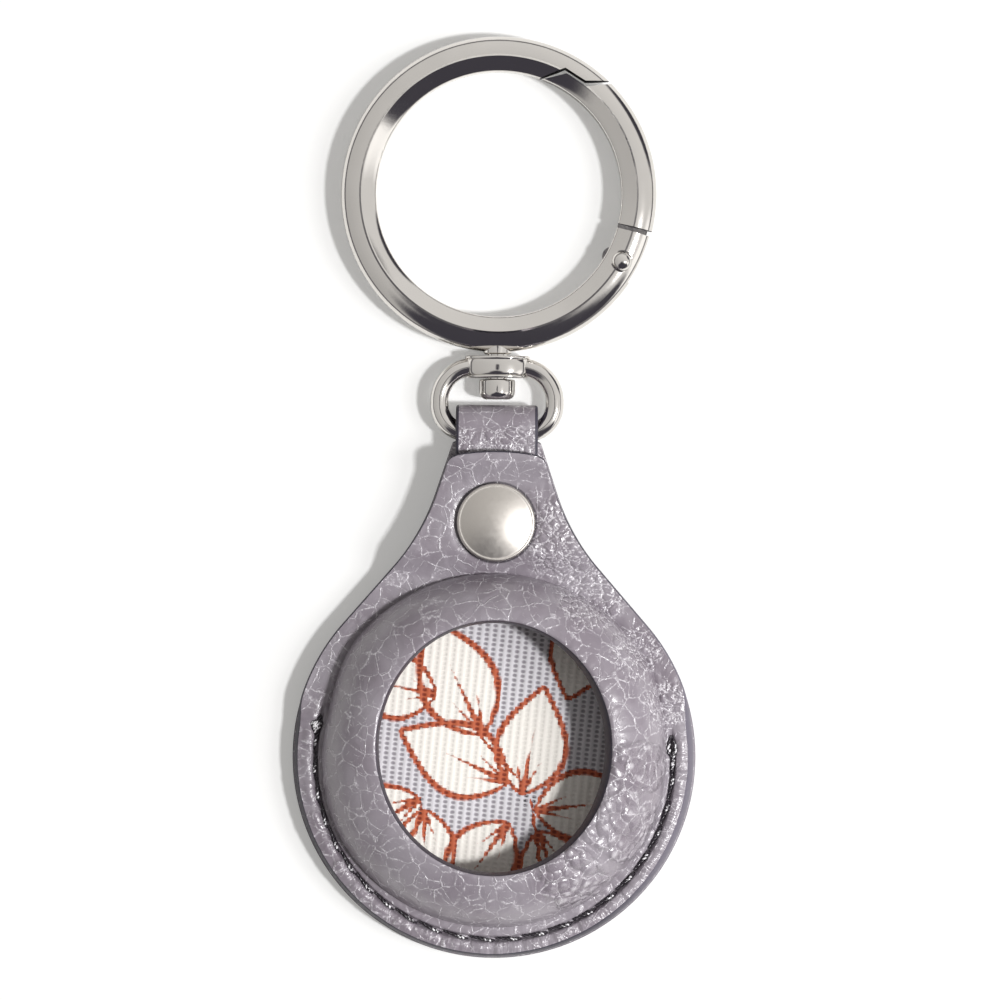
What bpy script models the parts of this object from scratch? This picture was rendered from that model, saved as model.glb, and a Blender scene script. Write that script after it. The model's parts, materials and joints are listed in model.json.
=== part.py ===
"""Leather tracker keychain: a moulded pocket with a window, a snap flap, a swivel loop and a sprung key ring.

The origin is on the flat back face, at the centre of the round pocket. +Y points along the keychain to
the ring, +X to the right as seen from the front, and +Z out of the front face. Units are metres.
"""

import math

import bmesh
import bpy
from mathutils import Matrix, Vector

MM = 0.001

# Tracker that the pocket is moulded for
TRACKER_RADIUS = 15.95 * MM
TRACKER_CLEARANCE = 0.55 * MM

# Leather layers
BACK_THICKNESS = 1.2 * MM
FRONT_THICKNESS = 1.2 * MM
LINING_THICKNESS = 0.3 * MM
GLUE_LINE = 0.1 * MM
EDGE_ROUND = 0.3 * MM

# Moulded pocket, its window, and the lips of leather that keep the tracker in
DOME_RADIUS = TRACKER_RADIUS + TRACKER_CLEARANCE + FRONT_THICKNESS
DOME_CENTRE = 0.7 * MM
DOME_RISE = 5.5 * MM
DOME_ROUNDNESS = 2.3
SIDE_LIP = 4.2 * MM
END_LIP = 3.15 * MM
WINDOW_HALF_WIDTH = TRACKER_RADIUS - SIDE_LIP
WINDOW_HALF_HEIGHT = TRACKER_RADIUS - END_LIP
WINDOW_CENTRE = 0.9 * MM

# Leather outline: a circle, straight flanks, and a neck with a flared end
BORDER_WIDTH = 2.5 * MM
BODY_RADIUS = DOME_RADIUS + BORDER_WIDTH
FLANK_START_ANGLE = math.radians(41.0)
NECK_LENGTH = 10.4 * MM
NECK_TOP = BODY_RADIUS + NECK_LENGTH
NECK_HALF_WIDTH = 4.7 * MM
NECK_FLARE_SHARE = 1.0 / 3.0
NECK_FILLET = 22.0 * MM
NECK_CORNER = 0.8 * MM
NECK_ARCH = 0.5 * MM
BACK_NECK_EXTRA = 1.0 * MM

# Seam
SEAM_MARGIN = 2.35 * MM
SEAM_RADIUS = BODY_RADIUS - SEAM_MARGIN
SEAM_START = math.radians(169.8)
SEAM_END = math.radians(363.9)
STITCH_LENGTH = 2.7 * MM
STITCH_LIFT = 0.2 * MM
THREAD_RADIUS = 0.25 * MM
BACK_THREAD_RADIUS = 0.17 * MM
THREAD_GAP = 0.1 * MM
GROOVE_END = math.radians(1.0)
GROOVE_DEPTH = 0.6 * MM
GROOVE_WALL = 0.15 * MM
GROOVE_FLOOR_HALF = THREAD_RADIUS + THREAD_GAP
GROOVE_HALF_WIDTH = GROOVE_FLOOR_HALF + GROOVE_WALL
BACK_GROOVE_RADIUS = 2 * BACK_THREAD_RADIUS + THREAD_GAP

# Snap, with its parts' radii from the post outwards
SNAP_BELOW_NECK_TOP = 7.14 * MM
SNAP_PLACE = NECK_TOP - SNAP_BELOW_NECK_TOP
FIT_GAP = 0.15 * MM
LAYER_GAP = 0.1 * MM
CAP_RADIUS = 3.9 * MM
CAP_RIM = 0.35 * MM
CAP_CROWN = 0.75 * MM
CAP_POST_RADIUS = 1.2 * MM
STUD_HEAD_RADIUS = 1.5 * MM
STUD_WAIST = 0.3 * MM
STUD_NECK_RADIUS = STUD_HEAD_RADIUS - STUD_WAIST
STUD_FLANGE = 1.0 * MM
STUD_BASE_RADIUS = STUD_HEAD_RADIUS + STUD_FLANGE
STUD_BASE = 0.25 * MM
STUD_HEIGHT = 1.05 * MM
STUD_BORE_DEPTH = 0.5 * MM
POST_RADIUS = STUD_NECK_RADIUS - STUD_WAIST
SOCKET_SWING_GAP = 0.5 * MM
SOCKET_BORE = STUD_HEAD_RADIUS + SOCKET_SWING_GAP
SOCKET_WALL = 0.8 * MM
SOCKET_RADIUS = SOCKET_BORE + SOCKET_WALL
SOCKET_HEIGHT = 1.0 * MM
SOCKET_LIP = 0.25 * MM
SOCKET_RECESS = 0.6 * MM
POST_DISC_RADIUS = 3.5 * MM
POST_DISC = 0.45 * MM
POST_DISC_RECESS = POST_DISC + FIT_GAP

# Strap that wraps the loop, and its tail under the snap
STRAP_SHOULDER = 0.27 * MM
STRAP_HALF_WIDTH = NECK_HALF_WIDTH - BACK_NECK_EXTRA * NECK_FLARE_SHARE - STRAP_SHOULDER
STRAP_THICKNESS = 0.8 * MM
STRAP_ABOVE_NECK = 4.6 * MM
STRAP_TOP = NECK_TOP + STRAP_ABOVE_NECK
STRAP_SKIVE = 0.3 * MM
TAIL_BEND = 3.0 * MM
TAIL_BEND_START = NECK_TOP
TAIL_BEND_END = TAIL_BEND_START - TAIL_BEND
TAIL_PAST_SNAP = 3.26 * MM
TAIL_END = SNAP_PLACE - TAIL_PAST_SNAP
TAIL_GAP = 0.3 * MM

# Lining
LINING_BELOW_TAIL = 0.9 * MM
LINING_TOP = TAIL_END - LINING_BELOW_TAIL
LINING_INSET = 0.35 * MM

# Flap that unsnaps, and the rise of its neck over the snap and the strap
FOLD_ABOVE_SEAM = 1.84 * MM
FOLD_PLACE = SEAM_RADIUS * math.sin(SEAM_START) + FOLD_ABOVE_SEAM
FOLD_GAP = 0.3 * MM
SNAP_RISE_RUN = 3.0 * MM
SNAP_RISE_END = SNAP_PLACE - SOCKET_RADIUS + FIT_GAP
SNAP_RISE_START = SNAP_RISE_END - SNAP_RISE_RUN
NECK_RISE_END = NECK_TOP - 2 * EDGE_ROUND
NECK_RISE_START = SNAP_PLACE + CAP_RADIUS + FIT_GAP

# Swivel loop
LOOP_WIRE_RADIUS = 0.9 * MM
LOOP_PAST_STRAP = 1.68 * MM
LOOP_HALF_WIDTH = STRAP_HALF_WIDTH + LOOP_PAST_STRAP
LOOP_BELOW_STRAP_TOP = 2.77 * MM
LOOP_BAR_PLACE = STRAP_TOP - LOOP_BELOW_STRAP_TOP
LOOP_LENGTH = 6.57 * MM
LOOP_TOP = LOOP_BAR_PLACE + LOOP_LENGTH
LOOP_LOWER_CORNER = 2.8 * MM
LOOP_UPPER_CORNER = 3.4 * MM
COLLAR_HEIGHT = 2.2 * MM
COLLAR_LOW = LOOP_TOP - COLLAR_HEIGHT / 2
COLLAR_HIGH = COLLAR_LOW + COLLAR_HEIGHT
COLLAR_HALF_WIDTH = 3.15 * MM
COLLAR_LIP = 0.4 * MM
COLLAR_LIP_STEP = 0.15 * MM
SWIVEL_RADIUS = 0.95 * MM
BUTTON_RADIUS = 1.8 * MM
BUTTON_HEIGHT = 2.0 * MM
BUTTON_ROUND = 0.6 * MM

# Key ring
RING_OUTER_RADIUS = 15.75 * MM
RING_WIDTH = 3.5 * MM
RING_INNER_RADIUS = RING_OUTER_RADIUS - RING_WIDTH
RING_DEPTH = 4.0 * MM
RING_BEVEL_WIDTH = 1.5 * MM
RING_BEVEL_RISE = 0.85 * MM
RING_CROWN_RISE = 1.5 * MM
RING_ABOVE_COLLAR = 0.4 * MM
RING_CENTRE = COLLAR_HIGH + RING_ABOVE_COLLAR + RING_OUTER_RADIUS
BOSS_RADIUS = SWIVEL_RADIUS + RING_ABOVE_COLLAR
SWIVEL_SEAT_SHARE = 0.486
SWIVEL_SEAT_DEPTH = RING_WIDTH * SWIVEL_SEAT_SHARE

# Gate, with the corners of its nose as shares of the ring's width and angles from the ring's centre
NOSE_INNER_SHARE = 0.04
NOSE_STEP_SHARE = 0.557
NOSE_OUTER_SHARE = 0.93
NOSE_INNER_ANGLE = math.radians(70.3)
NOSE_STEP_FAR_ANGLE = math.radians(62.7)
NOSE_STEP_NEAR_ANGLE = math.radians(53.0)
NOSE_OUTER_ANGLE = math.radians(47.2)
NOSE_GAP = 0.35 * MM
SPLIT_ANGLE = math.radians(-15.3)
SPLIT_GAP = 0.6 * MM
PIN_ANGLE = math.radians(-28.3)
PIN_RADIUS = 0.55 * MM
PIN_HEAD_RADIUS = 1.0 * MM
PIN_HEAD = 0.45 * MM
PIN_SEAT_DEPTH = 0.35 * MM
TONGUE_REACH = math.radians(8.0)
TONGUE_INSET = 0.3 * MM
TONGUE_RADIUS = RING_WIDTH / 2 - TONGUE_INSET
TONGUE_DEPTH = 1.6 * MM
SLOT_CLEARANCE = 0.2 * MM
SLOT_DEPTH = TONGUE_DEPTH + 2 * SLOT_CLEARANCE
SLOT_END_GAP = 0.75 * MM
SLOT_RADIUS = TONGUE_RADIUS + SLOT_END_GAP
LUG_RADIUS = 0.9 * MM
LUG_REACH = SLOT_RADIUS - LUG_RADIUS - LAYER_GAP

# Gate spring and its plunger, in a blind bore behind the hinge
PLUNGER_RADIUS = 0.6 * MM
PLUNGER_LENGTH = 1.1 * MM
SPRING_BORE_RADIUS = PLUNGER_RADIUS + FIT_GAP
SPRING_BORE_OFFSET = 0.5 * MM
SPRING_BORE_LENGTH = 2.9 * MM
SPRING_WIRE_RADIUS = 0.11 * MM
SPRING_COIL_RADIUS = PLUNGER_RADIUS - FIT_GAP
SPRING_TURNS = 4

# Overrun of a cutter past the face that it opens
OVERRUN = 1.0 * MM
# Two points this close are one
NEAR = 0.001 * MM

# Heights that follow from the sizes
MID_DEPTH = RING_DEPTH / 2
COLLAR_HALF_DEPTH = MID_DEPTH - LAYER_GAP / 2
LINING_LOW = BACK_THICKNESS + GLUE_LINE
FLANGE_UNDER = LINING_LOW + LINING_THICKNESS + GLUE_LINE
FLANGE_TOP = FLANGE_UNDER + FRONT_THICKNESS
DOME_TOP = FLANGE_TOP + DOME_RISE
STRAP_WRAP_RADIUS = MID_DEPTH
STRAP_WRAP_CENTRE = STRAP_TOP - STRAP_WRAP_RADIUS
TAIL_LOW = BACK_THICKNESS + TAIL_GAP
TAIL_TOP = TAIL_LOW + STRAP_THICKNESS
STUD_LOW = TAIL_TOP + LAYER_GAP
SOCKET_TOP = STUD_LOW + STUD_HEIGHT + SOCKET_LIP + LAYER_GAP
SNAP_UNDER = SOCKET_TOP + LAYER_GAP - SOCKET_RECESS
SNAP_FACE = SNAP_UNDER + FRONT_THICKNESS
SNAP_RISE = SNAP_UNDER - FLANGE_UNDER
NECK_UNDER = RING_DEPTH + TAIL_GAP
NECK_RISE = NECK_UNDER - SNAP_UNDER
PIN_PLACE_RADIUS = (RING_OUTER_RADIUS + RING_INNER_RADIUS) / 2

# Facets
RING_STEPS = 96
SMALL_STEPS = 32
WIRE_SIDES = 12

COLOURS = {
    "leather": ((0.29, 0.265, 0.30), 0.55, 0.0),
    "lining": ((0.42, 0.40, 0.42), 0.8, 0.0),
    "thread": ((0.07, 0.065, 0.08), 0.7, 0.0),
    "nickel": ((0.62, 0.61, 0.60), 0.18, 1.0),
    "satin_nickel": ((0.62, 0.61, 0.60), 0.35, 1.0),
    "spring_steel": ((0.45, 0.45, 0.46), 0.35, 1.0),
}


def clear_scene():
    """Remove every object of the open scene."""
    for item in list(bpy.data.objects):
        bpy.data.objects.remove(item, do_unlink=True)


def make_material(name):
    """Plain material with the finish's colour, roughness and metallic value."""
    colour, roughness, metallic = COLOURS[name]
    material = bpy.data.materials.new(name)
    material.use_nodes = True
    shader = material.node_tree.nodes["Principled BSDF"]
    shader.inputs["Base Color"].default_value = (*colour, 1.0)
    shader.inputs["Roughness"].default_value = roughness
    shader.inputs["Metallic"].default_value = metallic
    return material


def add_object(name, bm, finish, origin=Vector()):
    """Object of a finished mesh, with its origin moved to the point that it turns about."""
    bmesh.ops.recalc_face_normals(bm, faces=bm.faces)
    bmesh.ops.translate(bm, verts=bm.verts, vec=-Vector(origin))
    mesh = bpy.data.meshes.new(name)
    bm.to_mesh(mesh)
    bm.free()
    mesh.shade_smooth()
    mesh.set_sharp_from_angle(angle=math.radians(35.0))
    item = bpy.data.objects.new(name, mesh)
    item.location = origin
    bpy.context.collection.objects.link(item)
    if finish:
        item.data.materials.append(bpy.data.materials.get(finish) or make_material(finish))
    return item


def add_cutter(name, bm):
    """Object that only shapes others: drawn as wire and left out of the build."""
    item = add_object(name, bm, None)
    item.hide_render = True
    item.display_type = "WIRE"
    return item


def combine(target, other, operation):
    """Boolean of two closed bodies, kept live on the target."""
    modifier = target.modifiers.new(other.name, "BOOLEAN")
    modifier.operation = operation
    modifier.solver = "EXACT"
    modifier.object = other


def loft(loops, closed):
    """Skin over loops of equally many points: capped at both ends, or joined end to end."""
    bm = bmesh.new()
    rings = [[bm.verts.new(point) for point in loop] for loop in loops]
    spans = list(zip(rings, rings[1:]))
    if closed:
        spans.append((rings[-1], rings[0]))
    for low, high in spans:
        for index in range(len(low)):
            after = (index + 1) % len(low)
            bm.faces.new((low[index], low[after], high[after], high[index]))
    if not closed:
        bm.faces.new(list(reversed(rings[0])))
        bm.faces.new(rings[-1])
    return bm


def prism(outline, low, high):
    """Flat body of an outline, between two heights."""
    return loft([[(x, y, z) for x, y in outline] for z in (low, high)], closed=False)


def turned(profile, steps):
    """Body turned about Z from a profile of (radius, height) points that starts and ends on the axis."""
    bm = bmesh.new()
    points = [bm.verts.new((radius, 0, height)) for radius, height in profile]
    edges = [bm.edges.new(pair) for pair in zip(points, points[1:])]
    bmesh.ops.spin(bm, geom=points + edges, angle=math.tau, steps=steps, axis=(0, 0, 1), use_merge=True)
    bmesh.ops.remove_doubles(bm, verts=bm.verts, dist=NEAR)
    return bm


def turned_ring(profile, steps):
    """Ring turned about Z from a closed profile of (radius, height) points."""
    turns = [math.tau * step / steps for step in range(steps)]
    loops = [[(r * math.cos(turn), r * math.sin(turn), z) for r, z in profile] for turn in turns]
    return loft(loops, closed=True)


def tube(points, radius, sides, closed):
    """Round wire along a line of points."""
    loops = []
    count = len(points)
    normal = None
    for index, point in enumerate(points):
        before = points[(index - 1) % count] if closed or index else point
        after = points[(index + 1) % count] if closed or index < count - 1 else point
        along = (Vector(after) - Vector(before)).normalized()
        if normal is None:
            normal = along.orthogonal()
        normal = (normal - along * normal.dot(along)).normalized()
        side = along.cross(normal)
        turns = [math.tau * step / sides for step in range(sides)]
        loops.append([Vector(point) + (normal * math.cos(t) + side * math.sin(t)) * radius for t in turns])
    return loft(loops, closed)


def arc(centre, radius, start, end, steps):
    """Points on an arc, ends included."""
    angles = [start + (end - start) * step / steps for step in range(steps + 1)]
    return [Vector((centre[0] + radius * math.cos(a), centre[1] + radius * math.sin(a))) for a in angles]


def smooth_step(value, start, end):
    """0 before start, 1 after end, and a smooth rise between them."""
    share = min(max((value - start) / (end - start), 0.0), 1.0)
    return share * share * (3 - 2 * share)


def polar(radius, angle):
    """Point of the key ring's plane, from its centre."""
    return Vector((radius * math.cos(angle), RING_CENTRE + radius * math.sin(angle)))


def placed(bm, matrix):
    """The mesh, moved by a matrix."""
    bmesh.ops.transform(bm, matrix=matrix, verts=bm.verts)
    return bm


def at_snap(bm):
    """The mesh at the snap's place, turned half a facet so that no corner lies on the middle line."""
    half_facet = Matrix.Rotation(math.pi / SMALL_STEPS, 4, "Z")
    return placed(bm, Matrix.Translation((0, SNAP_PLACE, 0)) @ half_facet)


def along_y(x, y, z):
    """Matrix that stands a body turned about Z along Y instead, at a place."""
    return Matrix.Translation((x, y, z)) @ Matrix.Rotation(-math.pi / 2, 4, "X")


# Leather outlines


def half_outline(neck_top, corner, arch):
    """Right side of the teardrop, from the bottom of the circle to the middle of the neck's top edge."""
    flank_start = Vector((math.cos(FLANK_START_ANGLE), math.sin(FLANK_START_ANGLE))) * BODY_RADIUS
    flank = Vector((-math.sin(FLANK_START_ANGLE), math.cos(FLANK_START_ANGLE)))
    neck_top_width = NECK_HALF_WIDTH + (NECK_TOP - neck_top) * NECK_FLARE_SHARE
    neck_corner = Vector((neck_top_width, neck_top - arch))
    neck = Vector((-NECK_FLARE_SHARE, 1.0)).normalized()
    reach = (neck_corner - flank_start).cross(neck) / flank.cross(neck)
    bend = flank_start + flank * reach
    turn = flank.angle(neck)
    setback = NECK_FILLET * math.tan(turn / 2)
    fillet_start = bend - flank * setback
    fillet_end = bend + neck * setback
    outward = Vector((flank.y, -flank.x))
    centre = fillet_start + outward * NECK_FILLET
    first = math.atan2(-outward.y, -outward.x)
    seam_end = math.pi - SEAM_START
    points = arc((0, 0), BODY_RADIUS, -math.pi / 2, seam_end, 17)
    points += arc((0, 0), BODY_RADIUS, seam_end, FLANK_START_ANGLE, 5)[1:]
    points += [flank_start.lerp(fillet_start, share) for share in (1 / 3, 2 / 3)]
    points += arc(centre, NECK_FILLET, first, first - turn, 4)
    corner_start = neck_corner - neck * corner
    points += [fillet_end.lerp(corner_start, share) for share in (1 / 2, 1)]
    corner_end = neck_corner - Vector((corner, 0))
    middle = (corner_start + corner_end) / 2
    points += [middle.lerp(neck_corner, share) for share in (1 / 3,)]
    halfway_drop = arch / 4
    points += [corner_end, Vector((corner_end.x / 2, neck_top - halfway_drop)), Vector((0, neck_top))]
    return points


def full_outline(neck_top, corner, arch=0):
    """Whole teardrop, anticlockwise from the bottom of the circle."""
    right = half_outline(neck_top, corner, arch)
    left = [Vector((-point.x, point.y)) for point in reversed(right[1:-1])]
    return right + left


def inset_outline(points, distance):
    """The outline, drawn in by a distance."""
    inset = []
    for index, point in enumerate(points):
        along = (points[(index + 1) % len(points)] - points[index - 1]).normalized()
        inset.append(point + Vector((-along.y, along.x)) * distance)
    return inset


# Front leather


def circle_reach(direction, radius):
    """How far from the dome's centre a ray meets a circle about the origin."""
    across = DOME_CENTRE * direction.y
    return -across + math.sqrt(across * across + radius * radius - DOME_CENTRE * DOME_CENTRE)


def window_reach(direction):
    """How far from the dome's centre a ray meets the window's oval."""
    offset = DOME_CENTRE - WINDOW_CENTRE
    a = (direction.x / WINDOW_HALF_WIDTH) ** 2 + (direction.y / WINDOW_HALF_HEIGHT) ** 2
    b = offset * direction.y / WINDOW_HALF_HEIGHT**2
    c = (offset / WINDOW_HALF_HEIGHT) ** 2 - 1
    return (-b + math.sqrt(b * b - a * c)) / a


def neck_lift(y):
    """How far the leather rises over the snap and the strap."""
    snap = SNAP_RISE * smooth_step(y, SNAP_RISE_START, SNAP_RISE_END)
    return snap + NECK_RISE * smooth_step(y, NECK_RISE_START, NECK_RISE_END)


def is_sewn(point):
    """True where the seam runs, from one backtack round the bottom to the other."""
    angle = math.atan2(point.y, point.x) % math.tau
    return SEAM_START - GROOVE_END < angle or angle < SEAM_END - math.tau + GROOVE_END


def dome_stations(window, foot):
    """Upper and lower (reach, height) points of the moulded dome, from the window's edge to its foot."""
    upper = [(window, DOME_TOP - EDGE_ROUND), (window + EDGE_ROUND, DOME_TOP)]
    lower = [(window, DOME_TOP - FRONT_THICKNESS), (window + EDGE_ROUND, DOME_TOP - FRONT_THICKNESS)]
    for step in range(1, 7):
        turn = math.pi / 2 * step / 6
        out = math.sin(turn) ** (2 / DOME_ROUNDNESS)
        up = math.cos(turn) ** (2 / DOME_ROUNDNESS) if step < 6 else 0.0
        upper.append((window + (foot - window) * out, FLANGE_TOP + DOME_RISE * up))
        inner_foot = foot - FRONT_THICKNESS
        lower.append((window + (inner_foot - window) * out, FLANGE_UNDER + DOME_RISE * up))
    return upper, lower


def flange_stations(direction, foot, edge, sewn):
    """Upper and lower (reach, height) points of the flat border, from the dome's foot to the cut edge."""
    if sewn:
        seam = circle_reach(direction, SEAM_RADIUS)
        floor = GROOVE_FLOOR_HALF
        reaches = [seam - GROOVE_HALF_WIDTH, seam - floor, seam + floor, seam + GROOVE_HALF_WIDTH]
        depths = [0, GROOVE_DEPTH, GROOVE_DEPTH, 0]
    else:
        shares = (0.14, 0.28, 0.42, 0.58)
        reaches = [foot + (edge - foot) * share for share in shares]
        depths = [0, 0, 0, 0]
    last = reaches[-1]
    reaches += [(last + edge) / 2, edge - EDGE_ROUND, edge]
    depths += [0, 0, EDGE_ROUND]
    upper = [(reach, FLANGE_TOP - depth) for reach, depth in zip(reaches, depths)]
    lower = [(reach, FLANGE_UNDER) for reach in reaches]
    return upper, lower


def front_loop(point):
    """Closed section of the front leather along the ray through one point of the outline."""
    centre = Vector((0, DOME_CENTRE))
    ray = point - centre
    edge = ray.length
    direction = ray.normalized()
    sewn = is_sewn(point)
    foot = DOME_RADIUS
    if sewn:
        foot = min(foot, circle_reach(direction, SEAM_RADIUS) - GROOVE_HALF_WIDTH - THREAD_GAP)
    dome_upper, dome_lower = dome_stations(window_reach(direction), foot)
    flange_upper, flange_lower = flange_stations(direction, foot, edge, sewn)
    section = dome_upper + flange_upper + list(reversed(dome_lower + flange_lower))
    loop = []
    for reach, height in section:
        place = centre + direction * reach
        loop.append((place.x, place.y, height + neck_lift(place.y)))
    return loop


def cut_at_fold(bm, keep_upper):
    """One side of the front leather, closed again along the fold."""
    side = 1 if keep_upper else -1
    bmesh.ops.bisect_plane(
        bm,
        geom=list(bm.verts) + list(bm.edges) + list(bm.faces),
        plane_co=(0, FOLD_PLACE + side * FOLD_GAP / 2, 0),
        plane_no=(0, -side, 0),
        clear_outer=True,
    )
    rim = [edge for edge in bm.edges if edge.is_boundary]
    bmesh.ops.holes_fill(bm, edges=rim, sides=0)
    return bm


def build_front():
    """Front leather: the sewn lower half, and the upper half that unsnaps and folds down."""
    loops = [front_loop(point) for point in full_outline(NECK_TOP, NECK_CORNER, NECK_ARCH)]
    add_object("front_panel", cut_at_fold(loft(loops, closed=True), False), "leather")
    fold = (0, FOLD_PLACE, DOME_TOP)
    flap = add_object("front_flap", cut_at_fold(loft(loops, closed=True), True), "leather", fold)
    recess = SNAP_UNDER + SOCKET_RECESS
    profile = [
        (0, FLANGE_UNDER - OVERRUN),
        (SOCKET_RADIUS + FIT_GAP, FLANGE_UNDER - OVERRUN),
        (SOCKET_RADIUS + FIT_GAP, recess),
        (CAP_POST_RADIUS + FIT_GAP, recess),
        (CAP_POST_RADIUS + FIT_GAP, SNAP_FACE + OVERRUN),
        (0, SNAP_FACE + OVERRUN),
    ]
    combine(flap, add_cutter("flap_snap_hole", at_snap(turned(profile, SMALL_STEPS))), "DIFFERENCE")


# Back leather, its strap and the lining


def strap_sections():
    """Pairs of outer and inner (y, z) points along the strap, from the neck round the loop to its tail."""
    inner = STRAP_WRAP_RADIUS - STRAP_THICKNESS
    neck = NECK_TOP + BACK_NECK_EXTRA + STRAP_SKIVE
    sections = [((neck, 0), (neck, STRAP_THICKNESS))]
    for step in range(9):
        turn = math.pi * step / 8
        away = Vector((math.sin(turn), -math.cos(turn)))
        centre = Vector((STRAP_WRAP_CENTRE, MID_DEPTH))
        sections.append((centre + away * STRAP_WRAP_RADIUS, centre + away * inner))
    top = MID_DEPTH + STRAP_WRAP_RADIUS
    drop = top - TAIL_TOP
    for share in (0, 1 / 4, 1 / 2, 3 / 4, 1):
        y = TAIL_BEND_START + (TAIL_BEND_END - TAIL_BEND_START) * share
        z = top - drop * smooth_step(share, 0, 1)
        sections.append(((y, z), (y, z - STRAP_THICKNESS)))
    sections.append(((TAIL_END, TAIL_LOW + STRAP_THICKNESS), (TAIL_END, TAIL_LOW)))
    return sections


def grow_strap(bm):
    """Draw the plate's top edge out into the strap, section by section."""
    top = NECK_TOP + BACK_NECK_EXTRA
    faces = [f for f in bm.faces if min(v.co.y for v in f.verts) > top - NEAR]
    bmesh.ops.delete(bm, geom=faces, context="FACES_ONLY")
    bmesh.ops.delete(bm, geom=[e for e in bm.edges if e.is_wire], context="EDGES")
    rim = {v for e in bm.edges if e.is_boundary for v in e.verts}
    low = sorted((v for v in rim if v.co.z < BACK_THICKNESS / 2), key=lambda v: v.co.x)
    high = sorted((v for v in rim if v.co.z > BACK_THICKNESS / 2), key=lambda v: v.co.x)
    ring = low + list(reversed(high))
    widths = [v.co.x for v in low]
    for outer, inner in strap_sections():
        after = [bm.verts.new((x, outer[0], outer[1])) for x in widths]
        after += [bm.verts.new((x, inner[0], inner[1])) for x in reversed(widths)]
        for index in range(len(ring)):
            following = (index + 1) % len(ring)
            bm.faces.new((ring[index], ring[following], after[following], after[index]))
        ring = after
    bm.faces.new(ring)
    return bm


def seam_path(stitch_steps, lift, low):
    """Points of a lock stitch round the pocket: up along each stitch, down at each hole."""
    length = SEAM_RADIUS * (SEAM_END - SEAM_START)
    stitches = round(length / STITCH_LENGTH)
    steps = stitches * stitch_steps
    points = []
    for step in range(steps + 1):
        angle = SEAM_START + GROOVE_END + (SEAM_END - SEAM_START - 2 * GROOVE_END) * step / steps
        rise = lift * abs(math.sin(math.pi * step / stitch_steps))
        points.append((SEAM_RADIUS * math.cos(angle), SEAM_RADIUS * math.sin(angle), low + rise))
    return points


def build_back():
    """Back leather with the strap that it runs out into, bored for the snap and grooved for the thread."""
    neck_top = NECK_TOP + BACK_NECK_EXTRA
    corner = NECK_HALF_WIDTH - BACK_NECK_EXTRA * NECK_FLARE_SHARE - STRAP_HALF_WIDTH
    bm = prism(full_outline(neck_top, corner), 0, BACK_THICKNESS)
    bmesh.ops.recalc_face_normals(bm, faces=bm.faces)
    back = add_object("back_panel", grow_strap(bm), "leather")
    ceiling = TAIL_TOP + OVERRUN / 2
    profile = [
        (0, -OVERRUN),
        (POST_DISC_RADIUS + FIT_GAP, -OVERRUN),
        (POST_DISC_RADIUS + FIT_GAP, POST_DISC_RECESS),
        (POST_RADIUS + FIT_GAP, POST_DISC_RECESS),
        (POST_RADIUS + FIT_GAP, ceiling),
        (0, ceiling),
    ]
    arc_points = arc((0, 0), SEAM_RADIUS, SEAM_START - GROOVE_END, SEAM_END + GROOVE_END, 44)
    groove = tube([(x, y, 0) for x, y in arc_points], BACK_GROOVE_RADIUS, 6, closed=False)
    combine(back, add_cutter("back_seam_groove", groove), "DIFFERENCE")
    combine(back, add_cutter("back_snap_hole", at_snap(turned(profile, SMALL_STEPS))), "DIFFERENCE")


def build_lining():
    """Woven lining, glued to the back leather inside the pocket."""
    outline = inset_outline(full_outline(NECK_TOP, NECK_CORNER), LINING_INSET)
    bm = prism(outline, LINING_LOW, LINING_LOW + LINING_THICKNESS)
    bmesh.ops.bisect_plane(
        bm,
        geom=list(bm.verts) + list(bm.edges) + list(bm.faces),
        plane_co=(0, LINING_TOP, 0),
        plane_no=(0, 1, 0),
        clear_outer=True,
    )
    bmesh.ops.holes_fill(bm, edges=[edge for edge in bm.edges if edge.is_boundary], sides=0)
    add_object("back_lining", bm, "lining")


def build_seam():
    """Needle thread in the front groove and bobbin thread in the back one."""
    front_low = FLANGE_TOP - GROOVE_DEPTH + THREAD_GAP + THREAD_RADIUS
    front = seam_path(4, STITCH_LIFT, front_low)
    add_object("needle_thread", tube(front, THREAD_RADIUS, 6, closed=False), "thread")
    back = seam_path(2, 0, BACK_THREAD_RADIUS)
    add_object("bobbin_thread", tube(back, BACK_THREAD_RADIUS, 5, closed=False), "thread")


# Snap


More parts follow.
